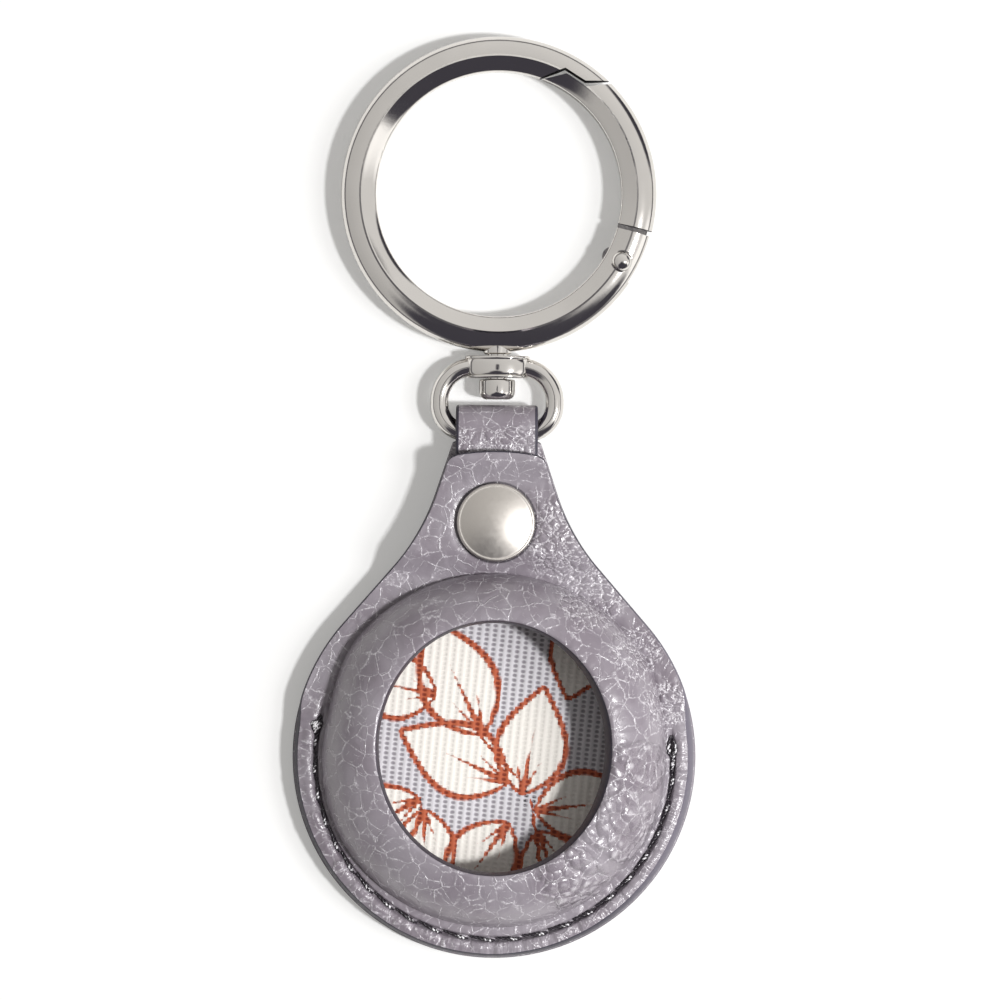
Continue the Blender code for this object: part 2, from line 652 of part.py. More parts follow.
def build_snap():
    """Press stud: domed cap and socket on the flap, stud and post through the strap's tail and the back."""
    seat = SNAP_FACE + LAYER_GAP
    post_low = SOCKET_TOP + LAYER_GAP / 2
    cap = [(0, post_low), (CAP_POST_RADIUS, post_low), (CAP_POST_RADIUS, seat), (CAP_RADIUS - CAP_RIM / 2, seat)]
    cap += [(CAP_RADIUS, seat + CAP_RIM / 3), (CAP_RADIUS, seat + CAP_RIM * 2 / 3)]
    for step in range(0, 6):
        turn = math.pi / 2 * step / 5
        across = (CAP_RADIUS - CAP_RIM / 2) * math.cos(turn)
        cap.append((across if step < 5 else 0, seat + CAP_RIM + CAP_CROWN * math.sin(turn)))
    fold = (0, FOLD_PLACE, DOME_TOP)
    add_object("snap_cap", at_snap(turned(cap, 48)), "satin_nickel", fold)

    top = SOCKET_TOP
    low = top - SOCKET_HEIGHT
    socket = [
        (SOCKET_RADIUS, top),
        (SOCKET_RADIUS, low + SOCKET_LIP),
        (SOCKET_RADIUS - SOCKET_LIP, low),
        (SOCKET_BORE, low),
        (SOCKET_BORE, top - SOCKET_LIP),
        (POST_RADIUS, top - SOCKET_LIP),
        (POST_RADIUS, top),
    ]
    add_object("snap_socket", at_snap(turned_ring(socket, SMALL_STEPS)), "nickel", fold)

    base = STUD_LOW
    head = base + STUD_HEIGHT
    stud = [
        (0, base + STUD_BORE_DEPTH),
        (POST_RADIUS + FIT_GAP, base + STUD_BORE_DEPTH),
        (POST_RADIUS + FIT_GAP, base),
        (STUD_BASE_RADIUS, base),
        (STUD_BASE_RADIUS, base + STUD_BASE),
        (STUD_NECK_RADIUS, base + STUD_BASE),
        (STUD_NECK_RADIUS, base + (STUD_HEIGHT + STUD_BASE) / 2),
        (STUD_HEAD_RADIUS, head - STUD_BASE),
        (STUD_HEAD_RADIUS - STUD_BASE / 2, head),
        (0, head),
    ]
    add_object("snap_stud", at_snap(turned(stud, SMALL_STEPS)), "nickel")

    low = POST_DISC_RECESS - LAYER_GAP - POST_DISC
    tip = base + STUD_BORE_DEPTH - LAYER_GAP
    post = [
        (0, low),
        (POST_DISC_RADIUS - EDGE_ROUND, low),
        (POST_DISC_RADIUS, low + EDGE_ROUND),
        (POST_DISC_RADIUS, low + POST_DISC),
        (POST_RADIUS, low + POST_DISC),
        (POST_RADIUS, tip),
        (0, tip),
    ]
    add_object("snap_post", at_snap(turned(post, SMALL_STEPS)), "nickel")


# Swivel


def loop_path():
    """Centre line of the loop's wire: a rounded oblong with a straight bar under the strap."""
    upper = Vector((LOOP_HALF_WIDTH - LOOP_UPPER_CORNER, LOOP_TOP - LOOP_UPPER_CORNER))
    lower = Vector((LOOP_HALF_WIDTH - LOOP_LOWER_CORNER, LOOP_BAR_PLACE + LOOP_LOWER_CORNER))
    points = arc(lower, LOOP_LOWER_CORNER, -math.pi / 2, 0, 7)
    points += arc(upper, LOOP_UPPER_CORNER, 0, math.pi / 2, 7)
    points += arc(Vector((-upper.x, upper.y)), LOOP_UPPER_CORNER, math.pi / 2, math.pi, 7)
    points += arc(Vector((-lower.x, lower.y)), LOOP_LOWER_CORNER, math.pi, math.pi * 3 / 2, 7)
    return [(point.x, point.y, MID_DEPTH) for point in points]


def build_loop():
    """Cast loop: a wire oblong that carries an oval collar, bored for the swivel post."""
    pivot = (0, LOOP_BAR_PLACE, MID_DEPTH)
    loop = add_object("swivel_loop", tube(loop_path(), LOOP_WIRE_RADIUS, WIRE_SIDES, closed=True), "nickel", pivot)
    wide = COLLAR_HALF_WIDTH
    waist = wide - COLLAR_LIP_STEP
    height = COLLAR_HEIGHT
    collar = [
        (0, 0),
        (wide - COLLAR_LIP, 0),
        (wide, COLLAR_LIP / 2),
        (waist, COLLAR_LIP),
        (waist, height - COLLAR_LIP),
        (wide, height - COLLAR_LIP / 2),
        (wide - COLLAR_LIP, height),
        (0, height),
    ]
    bm = placed(turned(collar, SMALL_STEPS), along_y(0, COLLAR_LOW, 0))
    flatten = Matrix.Diagonal((1, 1, COLLAR_HALF_DEPTH / COLLAR_HALF_WIDTH, 1))
    placed(bm, Matrix.Translation((0, 0, MID_DEPTH)) @ flatten)
    combine(loop, add_cutter("collar_body", bm), "UNION")
    bore = SWIVEL_RADIUS + FIT_GAP
    reach = height + OVERRUN * 2
    hole = [(0, -OVERRUN), (bore, -OVERRUN), (bore, reach), (0, reach)]
    bm = placed(turned(hole, SMALL_STEPS), along_y(0, COLLAR_LOW, MID_DEPTH))
    combine(loop, add_cutter("collar_bore", bm), "DIFFERENCE")


def build_swivel_post():
    """Swivel post: a round button inside the loop, and a shank that is fixed in the key ring's boss."""
    top = COLLAR_LOW - FIT_GAP
    shank = RING_CENTRE - RING_OUTER_RADIUS + SWIVEL_SEAT_DEPTH - FIT_GAP
    profile = [(0, 0)]
    for step in range(4):
        turn = math.pi / 2 * step / 3
        across = BUTTON_RADIUS - BUTTON_ROUND + BUTTON_ROUND * math.sin(turn)
        profile.append((across, BUTTON_ROUND - BUTTON_ROUND * math.cos(turn)))
    low = top - BUTTON_HEIGHT
    profile += [
        (BUTTON_RADIUS, BUTTON_HEIGHT - BUTTON_ROUND / 2),
        (BUTTON_RADIUS - BUTTON_ROUND / 2, BUTTON_HEIGHT),
        (SWIVEL_RADIUS, BUTTON_HEIGHT),
        (SWIVEL_RADIUS, shank - low),
        (0, shank - low),
    ]
    bm = placed(turned(profile, SMALL_STEPS), along_y(0, low, MID_DEPTH))
    add_object("swivel_post", bm, "nickel", (0, COLLAR_LOW, MID_DEPTH))


# Key ring and gate


def ring_section():
    """Closed section of the ring: a flat inner wall, a bevel up to a ridge, and a crowned outer side."""
    half = RING_DEPTH / 2
    ridge = RING_INNER_RADIUS + RING_BEVEL_WIDTH
    crown_width = RING_OUTER_RADIUS - ridge
    upper = [(RING_INNER_RADIUS, half - RING_BEVEL_RISE)]
    for step in range(5):
        turn = math.pi / 2 * step / 4
        upper.append((ridge + crown_width * math.sin(turn), half - RING_CROWN_RISE * (1 - math.cos(turn))))
    lower = [(radius, -height) for radius, height in reversed(upper)]
    return [(radius, MID_DEPTH + height) for radius, height in lower + upper]


def full_ring():
    """The whole ring before the gate is parted from it."""
    return placed(turned_ring(ring_section(), RING_STEPS), Matrix.Translation((0, RING_CENTRE, 0)))


def gate_outline(nose_gap, split_gap):
    """Outline of the gate's side of the ring, drawn in from the cuts by half a gap each."""
    outside = RING_OUTER_RADIUS + OVERRUN
    inside = RING_INNER_RADIUS - OVERRUN
    back = nose_gap / PIN_PLACE_RADIUS
    step_radius = RING_INNER_RADIUS + RING_WIDTH * NOSE_STEP_SHARE - nose_gap
    nose = [
        (RING_INNER_RADIUS + RING_WIDTH * NOSE_OUTER_SHARE, NOSE_OUTER_ANGLE - back),
        (step_radius, NOSE_STEP_NEAR_ANGLE - back),
        (step_radius, NOSE_STEP_FAR_ANGLE - back),
        (RING_INNER_RADIUS + RING_WIDTH * NOSE_INNER_SHARE, NOSE_INNER_ANGLE - back),
    ]
    outer_slope = polar(*nose[0]) - polar(*nose[1])
    inner_slope = polar(*nose[3]) - polar(*nose[2])
    split = SPLIT_ANGLE + split_gap / PIN_PLACE_RADIUS
    points = [polar(outside, split + (NOSE_OUTER_ANGLE - back - split) * step / 8) for step in range(8)]
    points += [polar(*nose[0]) + outer_slope.normalized() * OVERRUN]
    points += [polar(*place) for place in nose]
    points += [polar(*nose[3]) + inner_slope.normalized() * OVERRUN]
    points += [polar(inside, NOSE_INNER_ANGLE + (split - NOSE_INNER_ANGLE) * step / 8) for step in range(1, 9)]
    return points


def pin_centre():
    """Place of the hinge pin, halfway across the ring."""
    return polar(PIN_PLACE_RADIUS, PIN_ANGLE)


def capsule(start, end, radius):
    """Outline of a bar with round ends."""
    along = (end - start).normalized()
    heading = math.atan2(along.y, along.x)
    points = arc(start, radius, heading + math.pi / 2, heading + math.pi * 3 / 2, 10)
    return points + arc(end, radius, heading - math.pi / 2, heading + math.pi / 2, 4)


def pin_hole(name):
    """Cutter for the hinge pin's hole and the seat of its head."""
    radius = PIN_RADIUS + FIT_GAP
    seat = RING_DEPTH - PIN_SEAT_DEPTH
    profile = [
        (0, -OVERRUN),
        (radius, -OVERRUN),
        (radius, seat),
        (PIN_HEAD_RADIUS + FIT_GAP, seat),
        (PIN_HEAD_RADIUS + FIT_GAP, RING_DEPTH + OVERRUN),
        (0, RING_DEPTH + OVERRUN),
    ]
    pin = pin_centre()
    return add_cutter(name, placed(turned(profile, 24), Matrix.Translation((pin.x, pin.y, 0))))


def bore_frame():
    """Matrix of the spring's bore: its mouth at the slot's end wall, and Z into the ring."""
    pin = pin_centre()
    radial = Vector((math.cos(PIN_ANGLE), math.sin(PIN_ANGLE), 0))
    into = Vector((math.sin(PIN_ANGLE), -math.cos(PIN_ANGLE), 0))
    mouth = Vector((pin.x, pin.y, MID_DEPTH)) - radial * SPRING_BORE_OFFSET + into * SLOT_RADIUS
    turn = Matrix((radial, into.cross(radial), into)).transposed().to_4x4()
    return Matrix.Translation(mouth) @ turn


def build_ring():
    """Ring body: gate side cut away, forked for the gate's tongue, with a boss bored for the swivel."""
    ring = add_object("ring_body", full_ring(), "nickel", (0, RING_CENTRE, MID_DEPTH))
    outline = gate_outline(0, 0)
    combine(ring, add_cutter("gate_space", prism(outline, -OVERRUN, RING_DEPTH + OVERRUN)), "DIFFERENCE")
    slot_low = MID_DEPTH - SLOT_DEPTH / 2
    slot = capsule(pin_centre(), polar(PIN_PLACE_RADIUS, SPLIT_ANGLE + TONGUE_REACH), SLOT_RADIUS)
    combine(ring, add_cutter("fork_slot", prism(slot, slot_low, slot_low + SLOT_DEPTH)), "DIFFERENCE")
    combine(ring, pin_hole("ring_pin_hole"), "DIFFERENCE")
    bore = [
        (0, -SLOT_RADIUS),
        (SPRING_BORE_RADIUS, -SLOT_RADIUS),
        (SPRING_BORE_RADIUS, SPRING_BORE_LENGTH),
        (0, SPRING_BORE_LENGTH),
    ]
    combine(ring, add_cutter("spring_bore", placed(turned(bore, 16), bore_frame())), "DIFFERENCE")
    low = RING_CENTRE - RING_OUTER_RADIUS
    boss_low = COLLAR_HIGH + FIT_GAP
    boss = [(0, 0), (BOSS_RADIUS, 0), (BOSS_RADIUS, OVERRUN + low - boss_low), (0, OVERRUN + low - boss_low)]
    bm = placed(turned(boss, SMALL_STEPS), along_y(0, boss_low, MID_DEPTH))
    combine(ring, add_cutter("swivel_boss", bm), "UNION")
    seat = SWIVEL_RADIUS + LAYER_GAP
    deep = low + SWIVEL_SEAT_DEPTH - boss_low
    hole = [(0, -OVERRUN), (seat, -OVERRUN), (seat, deep), (0, deep)]
    bm = placed(turned(hole, SMALL_STEPS), along_y(0, boss_low, MID_DEPTH))
    combine(ring, add_cutter("swivel_seat", bm), "DIFFERENCE")


def build_gate():
    """Gate: its length of the ring, with a stepped nose and a tongue that turns on the hinge pin."""
    pin = pin_centre()
    gate = add_object("gate", full_ring(), "nickel", (pin.x, pin.y, MID_DEPTH))
    outline = gate_outline(NOSE_GAP, SPLIT_GAP)
    combine(gate, add_cutter("gate_length", prism(outline, -OVERRUN, RING_DEPTH + OVERRUN)), "INTERSECT")
    low = MID_DEPTH - TONGUE_DEPTH / 2
    shape = capsule(pin, polar(PIN_PLACE_RADIUS, SPLIT_ANGLE + TONGUE_REACH), TONGUE_RADIUS)
    combine(gate, add_cutter("gate_tongue", prism(shape, low, low + TONGUE_DEPTH)), "UNION")
    inward = (polar(0, 0) - pin).normalized()
    lug = capsule(pin + inward * LUG_REACH, pin, LUG_RADIUS)
    lug_low = low + LAYER_GAP
    lug_high = low + TONGUE_DEPTH - LAYER_GAP
    combine(gate, add_cutter("gate_lug", prism(lug, lug_low, lug_high)), "UNION")
    combine(gate, pin_hole("gate_pin_hole"), "DIFFERENCE")


def build_pin():
    """Hinge pin with a domed head on the front and a flush end on the back."""
    pin = pin_centre()
    seat = RING_DEPTH - PIN_SEAT_DEPTH + LAYER_GAP
    profile = [(0, LAYER_GAP), (PIN_RADIUS, LAYER_GAP), (PIN_RADIUS, seat)]
    for step in range(5):
        turn = math.pi / 2 * step / 4
        across = PIN_HEAD_RADIUS * math.cos(turn) if step < 4 else 0
        profile.append((across, seat + (PIN_SEAT_DEPTH + PIN_HEAD) * math.sin(turn)))
    bm = placed(turned(profile, 24), Matrix.Translation((pin.x, pin.y, 0)))
    add_object("hinge_pin", bm, "nickel", (pin.x, pin.y, MID_DEPTH))


def build_spring():
    """Plunger that presses the gate's tongue shut, and the coil spring behind it."""
    frame = bore_frame()
    gap = SLOT_RADIUS - TONGUE_RADIUS
    tip = -gap / 2
    shoulder = tip + PLUNGER_RADIUS / 2
    plunger = [
        (0, tip),
        (PLUNGER_RADIUS / 2, tip + LAYER_GAP),
        (PLUNGER_RADIUS, shoulder),
        (PLUNGER_RADIUS, tip + PLUNGER_LENGTH),
        (0, tip + PLUNGER_LENGTH),
    ]
    add_object("gate_plunger", placed(turned(plunger, 16), frame), "spring_steel")
    low = tip + PLUNGER_LENGTH + LAYER_GAP + SPRING_WIRE_RADIUS
    high = SPRING_BORE_LENGTH - LAYER_GAP - SPRING_WIRE_RADIUS
    steps = SPRING_TURNS * 10
    points = []
    for step in range(steps + 1):
        turn = math.tau * step / 10
        x, y = SPRING_COIL_RADIUS * math.cos(turn), SPRING_COIL_RADIUS * math.sin(turn)
        points.append((x, y, low + (high - low) * step / steps))
    add_object("gate_spring", placed(tube(points, SPRING_WIRE_RADIUS, 5, closed=False), frame), "spring_steel")


def main():
    """Build the keychain."""
    clear_scene()
    build_back()
    build_lining()
    build_front()
    build_seam()
    build_snap()
    build_loop()
    build_swivel_post()
    build_ring()
    build_gate()
    build_pin()
    build_spring()


main()
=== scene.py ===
"""Looks of a leather tracker keychain, set out as a Blender add-on and run as a script.

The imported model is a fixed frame, and every piece is modelled on it in metres, at its real size. The back
lies on the floor, +Y points along the keychain to its ring and +Z out of its front.
"""
import json
import math
from functools import partial

import bpy
import numpy as np
from bpy.props import FloatProperty, FloatVectorProperty, PointerProperty
from mathutils import Matrix, Vector, noise


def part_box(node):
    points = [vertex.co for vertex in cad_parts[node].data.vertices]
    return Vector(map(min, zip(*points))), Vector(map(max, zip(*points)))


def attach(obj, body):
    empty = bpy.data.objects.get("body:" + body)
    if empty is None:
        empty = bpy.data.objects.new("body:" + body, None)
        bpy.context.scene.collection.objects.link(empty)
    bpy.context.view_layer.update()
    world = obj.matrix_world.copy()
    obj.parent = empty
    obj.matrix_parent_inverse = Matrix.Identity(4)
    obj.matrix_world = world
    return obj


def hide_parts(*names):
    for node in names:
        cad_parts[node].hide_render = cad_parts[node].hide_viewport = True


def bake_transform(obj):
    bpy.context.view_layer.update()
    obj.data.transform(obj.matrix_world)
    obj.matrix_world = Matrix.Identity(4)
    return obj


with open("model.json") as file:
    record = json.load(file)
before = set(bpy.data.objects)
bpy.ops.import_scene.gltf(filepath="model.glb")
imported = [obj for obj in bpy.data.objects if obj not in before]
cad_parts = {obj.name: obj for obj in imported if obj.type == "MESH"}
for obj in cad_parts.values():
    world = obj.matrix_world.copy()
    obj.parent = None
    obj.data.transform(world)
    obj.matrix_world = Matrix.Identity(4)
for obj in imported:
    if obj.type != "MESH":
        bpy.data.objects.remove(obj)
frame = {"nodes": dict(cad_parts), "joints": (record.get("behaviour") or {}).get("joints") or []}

bl_info = {
    "name": "Tracker Keychain",
    "version": (1, 0, 0),
    "blender": (4, 5, 0),
    "location": "3D View > Sidebar > Keychain",
    "description": "Leather, lining, thread and nickel of a tracker keychain, built on its packed frame",
    "category": "Add Mesh",
}

MM = 0.001
X, Y, Z = 0, 1, 2


def low(node, axis):
    """Lowest place of a node of the frame along an axis."""
    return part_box(node)[0][axis]


def high(node, axis):
    """Highest place of a node of the frame along an axis."""
    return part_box(node)[1][axis]


def midway(node, axis):
    """Middle of a node of the frame along an axis."""
    return (low(node, axis) + high(node, axis)) / 2


# Leather, read from the frame
BODY_RADIUS = high("back_panel", X)
BACK_TOP = low("back_lining", Z) - 0.1 * MM
LINING_HIGH = high("back_lining", Z)
LINING_TOP = high("back_lining", Y)
FRONT_UNDER = low("front_panel", Z)
DOME_TOP = high("front_panel", Z)
NECK_TOP = high("front_flap", Y)
STRAP_TOP = high("back_panel", Y)
STRAP_FACE = high("back_panel", Z)

# Leather, set by the pattern
FRONT_THICKNESS = 1.2 * MM
BORDER_TOP = FRONT_UNDER + FRONT_THICKNESS
DOME_RISE = DOME_TOP - BORDER_TOP
DOME_RADIUS = BODY_RADIUS - 2.5 * MM
DOME_CENTRE = 0.7 * MM
DOME_ROUNDNESS = 1.68
WINDOW_CENTRE = 1.15 * MM
WINDOW_HALF_WIDTH = 11.72 * MM
WINDOW_HALF_HEIGHT = 12.65 * MM
FLANK_ANGLE = math.radians(41.0)
NECK_HALF_WIDTH = 4.7 * MM
NECK_FLARE_SHARE = 1.0 / 3.0
NECK_FILLET = 22.0 * MM
NECK_CORNER = 0.8 * MM
NECK_ARCH = 0.5 * MM
BACK_NECK_EXTRA = 1.0 * MM
STRAP_HALF_WIDTH = 4.1 * MM
STRAP_THICKNESS = 0.8 * MM
TAIL_END = 20.2 * MM
FOLD_PLACE = frame["joints"][0]["pos_m"][1]
FOLD_BEFORE, FOLD_AFTER = 1.2 * MM, 6.0 * MM
SNAP_RISE = 1.6 * MM
NECK_RISE = 1.0 * MM

# Rows of the front leather's section, by part, and points round its outline and the back's
DOME_ROWS = 26
GROOVE_ROWS = 19
BORDER_ROWS = 40
UNDER_ROWS = 8
RIM_ROWS = 5
EDGE_ROWS = 7
FRONT_POINTS = 680
BACK_POINTS = 420

# Seed of noise_vector, which would else take the time of day
PEBBLE_SEED = 1

# Seam: its circle, its ends, the degrees where the painted edges part at the flap, and its stitches
SEAM_RADIUS = BODY_RADIUS - 2.35 * MM
SEAM_CENTRE = Vector((0, -0.3 * MM))
SEAM_START = math.radians(168.8)
SEAM_END = math.radians(364.8)
EDGE_FADE_LEFT = (162, 172)
EDGE_FADE_RIGHT = (8, 22)
STITCH_SLANT = math.radians(-9.0)
UNDER_STITCH_HEIGHT = 0.155 * MM

# Snap, read from the frame
SNAP_PLACE = midway("snap_cap", Y)
CAP_RADIUS = high("snap_cap", X)
CAP_TOP = high("snap_cap", Z)
CAP_SEAT = CAP_TOP - 1.1 * MM

# Swivel and key ring, read from the frame
MID_DEPTH = midway("ring_body", Z)
RING_DEPTH = high("ring_body", Z) - low("ring_body", Z)
RING_OUTER = -low("ring_body", X)
RING_CENTRE = high("ring_body", Y) - RING_OUTER
RING_WIDTH = 3.5 * MM
RING_INNER = RING_OUTER - RING_WIDTH
PIN = Vector((midway("hinge_pin", X), midway("hinge_pin", Y)))
PIN_STAND = Matrix.Translation((PIN.x, PIN.y, 0))
PIN_TOP = high("hinge_pin", Z)
PIN_BORE = 0.7 * MM
PIN_HEAD_RADIUS = (high("hinge_pin", X) - low("hinge_pin", X)) / 2
BUTTON_LOW = low("swivel_post", Y)
BUTTON_RADIUS = high("swivel_post", X)
SHANK_TOP = high("swivel_post", Y)
LOOP_LOW, LOOP_HIGH = low("swivel_loop", Y), high("swivel_loop", Y)
WIRE_RADIUS = 0.9 * MM
LOOP_HALF_WIDTH = high("swivel_loop", X) - WIRE_RADIUS
COLLAR_HEIGHT = 2.2 * MM
COLLAR_HALF_WIDTH = 3.25 * MM
COLLAR_HALF_DEPTH = MID_DEPTH - 0.05 * MM


def linear(code):
    """Linear colour of an sRGB hex value."""
    values = [int(code[place : place + 2], 16) / 255 for place in (1, 3, 5)]
    return tuple(v / 12.92 if v <= 0.04045 else ((v + 0.055) / 1.055) ** 2.4 for v in values)


# Settings


def swatch(name, description, code):
    """Colour setting with a default in sRGB hex."""
    return FloatVectorProperty(
        name=name, description=description, subtype="COLOR", size=3, min=0, max=1, default=linear(code)
    )


def length(name, description, default):
    """Length setting in metres."""
    return FloatProperty(name=name, description=description, default=default, min=0, precision=5, unit="LENGTH")


def fraction(name, description, default):
    """Setting from 0 to 1."""
    return FloatProperty(name=name, description=description, default=default, min=0, max=1, subtype="FACTOR")


class LeatherSettings(bpy.types.PropertyGroup):
    """Leather of the pocket, the flap and the strap."""

    face: swatch("Face", "Finished grain side", "#9a939b")
    shade: swatch("Shade", "Deeper parts of the grain side", "#887f88")
    # Crease: painted highlight along the lines between the pebbles, where light would catch their walls
    crease_highlight: swatch("Crease", "Lines between the pebbles, where the finish is rubbed thin", "#d3cdd4")
    edge: swatch("Edge paint", "Painted cut edges", "#3b3843")
    flesh: swatch("Flesh side", "Back of the leather", "#857d84")
    pebble: length("Pebble", "Width of a pebble of the grain", 1.7 * MM)
    pucker: length("Pucker", "Height of the puckers that the seam draws", 0.13 * MM)
    band: length("Edge band", "Width of the rounded, painted edge of the sewn stack", 0.85 * MM)


class LiningSettings(bpy.types.PropertyGroup):
    """Ribbed, printed lining."""

    ground: swatch("Ground", "Pale ribs of the ground", "#dedbe0")
    ground_ink: swatch("Ground ink", "Grey dots of the ground", "#938e95")
    motif: swatch("Motif", "Printed leaves", "#f8f3ec")
    vein: swatch("Vein", "Outlines and veins of the print", "#7e2a0e")
    rib: length("Rib", "Distance between two ribs", 0.8 * MM)
    dot: length("Dot", "Distance between two picks of the weft", 0.475 * MM)


class ThreadSettings(bpy.types.PropertyGroup):
    """Seam thread."""

    face: swatch("Thread", "Bonded polyester thread", "#221d24")
    diameter: length("Diameter", "Thickness of the twisted thread", 0.42 * MM)
    stitch: length("Stitch", "Length of a stitch", 2.7 * MM)


class MetalSettings(bpy.types.PropertyGroup):
    """Nickel plated hardware."""

    nickel: swatch("Nickel", "Polished nickel plate", "#e6e3df")
    satin: swatch("Satin nickel", "Satin nickel of the snap", "#cfcac4")
    polish: fraction("Polish", "Roughness of the polished plate", 0.09)
    haze: fraction("Haze", "Roughness of the satin plate", 0.41)


class StageSettings(bpy.types.PropertyGroup):
    """Floor, lamps and camera."""

    floor: swatch("Floor", "Pale floor", "#f6f5f3")
    key: fraction("Key lamp", "Share of the light from the small lamp", 0.63)
    fill: fraction("Fill lamp", "Share of the light from the low, wide lamp", 0.25)
    sky: fraction("Room", "Strength of the room's light", 0.25)
    lens: FloatProperty(name="Lens", description="Focal length", default=200.0, min=1, unit="CAMERA")


# Shapes


def deselect_all():
    """Leave edit mode and select nothing."""
    if bpy.context.object and bpy.context.object.mode != "OBJECT":
        bpy.ops.object.mode_set(mode="OBJECT")
    bpy.ops.object.select_all(action="DESELECT")


def make_active(piece):
    """Select one piece alone."""
    deselect_all()
    piece.select_set(True)
    bpy.context.view_layer.objects.active = piece


def close_up(piece):
    """Merge what meets and point the faces outwards."""
    make_active(piece)
    bpy.ops.object.mode_set(mode="EDIT")
    bpy.ops.mesh.select_all(action="SELECT")
    bpy.ops.mesh.remove_doubles(threshold=0.0005 * MM)
    bpy.ops.mesh.normals_make_consistent(inside=False)
    bpy.ops.object.mode_set(mode="OBJECT")


def rolled(name, rows, materials=(), finish=None):
    """Flat grid, rolled so that its rows run through rows of points; finish(row, column) picks a material."""
    deselect_all()
    across, along = len(rows[0]) - 1, len(rows) - 1
    bpy.ops.mesh.primitive_grid_add(x_subdivisions=across, y_subdivisions=along, size=1)
    piece = bpy.context.object
    piece.name = piece.data.name = name
    mesh = piece.data
    for material in materials:
        mesh.materials.append(material)
    flat = np.empty(len(mesh.vertices) * 3)
    mesh.vertices.foreach_get("co", flat)
    flat = flat.reshape(-1, 3) + 0.5
    column = np.rint(flat[:, 0] * across).astype(int)
    row = np.rint(flat[:, 1] * along).astype(int)
    points = np.array([[tuple(point) for point in line] for line in rows])
    mesh.vertices.foreach_set("co", points[row, column].ravel())
    if finish:
        for face in mesh.polygons:
            corners = list(face.vertices)
            face.material_index = finish(min(row[corners]), min(column[corners]))
    mesh.update()
    close_up(piece)
    return piece


def turned(name, profile, steps, stand=Matrix(), materials=()):
    """Body turned about Z: an edge loop moved to its profile of radius and height, spun, and stood in place."""
    closed = profile[0] == profile[-1]
    points = profile[:-1] if closed else profile
    last = len(points) - 1
    deselect_all()
    bpy.ops.mesh.primitive_circle_add(vertices=len(points), radius=1)
    piece = bpy.context.object
    piece.name = piece.data.name = name
    mesh = piece.data
    for material in materials:
        mesh.materials.append(material)
    for vertex, (reach, height) in zip(mesh.vertices, points):
        vertex.co = (reach, 0, height)
        vertex.select = vertex.index in (0, last)
    for edge in mesh.edges:
        edge.select = set(edge.vertices) == {0, last}
    bpy.ops.object.mode_set(mode="EDIT")
    if not closed:
        bpy.ops.mesh.delete(type="EDGE")
    bpy.ops.mesh.select_all(action="SELECT")
    bpy.ops.mesh.spin(steps=steps, angle=math.tau, center=(0, 0, 0), axis=(0, 0, 1))
    bpy.ops.object.mode_set(mode="OBJECT")
    close_up(piece)
    mesh.transform(stand)
    return piece


def prism(name, outline, bottom, top):
    """Flat circle, moved to an outline, filled and extruded."""
    deselect_all()
    bpy.ops.mesh.primitive_circle_add(vertices=len(outline), radius=1, fill_type="NGON")
    piece = bpy.context.object
    piece.name = name
    for vertex, point in zip(piece.data.vertices, outline):
        vertex.co = (point[0], point[1], bottom)
    bpy.ops.object.mode_set(mode="EDIT")
    bpy.ops.mesh.select_all(action="SELECT")
    bpy.ops.mesh.extrude_region_move(TRANSFORM_OT_translate={"value": (0, 0, top - bottom)})
    bpy.ops.mesh.select_all(action="SELECT")
    bpy.ops.mesh.normals_make_consistent(inside=False)
    bpy.ops.object.mode_set(mode="OBJECT")
    return piece


def combine(piece, other, operation):
    """Boolean of two closed bodies, applied; the other one goes."""
    make_active(piece)
    modifier = piece.modifiers.new(operation.lower(), "BOOLEAN")
    modifier.operation = operation
    modifier.solver = "EXACT"
    modifier.object = other
    bpy.ops.object.modifier_apply(modifier=modifier.name)
    bpy.data.objects.remove(other)


def finished(piece, body, materials, replaces, sharp):
    """Shade a piece, give it the materials that it still lacks and set it on its body."""
    make_active(piece)
    bpy.ops.object.shade_smooth_by_angle(angle=math.radians(sharp))
    for material in materials[len(piece.data.materials) :]:
        piece.data.materials.append(material)
    if body:
        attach(piece, body)
    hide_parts(*replaces)
    return piece


def arc(centre, radius, start, end, steps):
    """Points on an arc, ends included."""
    angles = [start + (end - start) * step / steps for step in range(steps + 1)]
    return [Vector((centre[0] + radius * math.cos(a), centre[1] + radius * math.sin(a))) for a in angles]


def smooth_step(value, start, end):
    """0 before start, 1 after end, and a smooth rise between them."""
    share = min(max((value - start) / (end - start), 0.0), 1.0)
    return share * share * (3 - 2 * share)


def bump(distance, width):
    """1 at no distance, and a smooth fall to nothing past the width."""
    return math.exp(-((distance / width) ** 2))


def evenly(points, count):
    """The closed outline, redrawn with evenly spaced points."""
    line = np.array([tuple(point) for point in points + points[:1]])
    reach = np.concatenate(([0], np.cumsum(np.linalg.norm(np.diff(line, axis=0), axis=1))))
    places = np.linspace(0, reach[-1], count, endpoint=False)
    across, up = (np.interp(places, reach, line[:, axis]) for axis in (X, Y))
    return [Vector(pair) for pair in zip(across, up)]


# Leather pattern


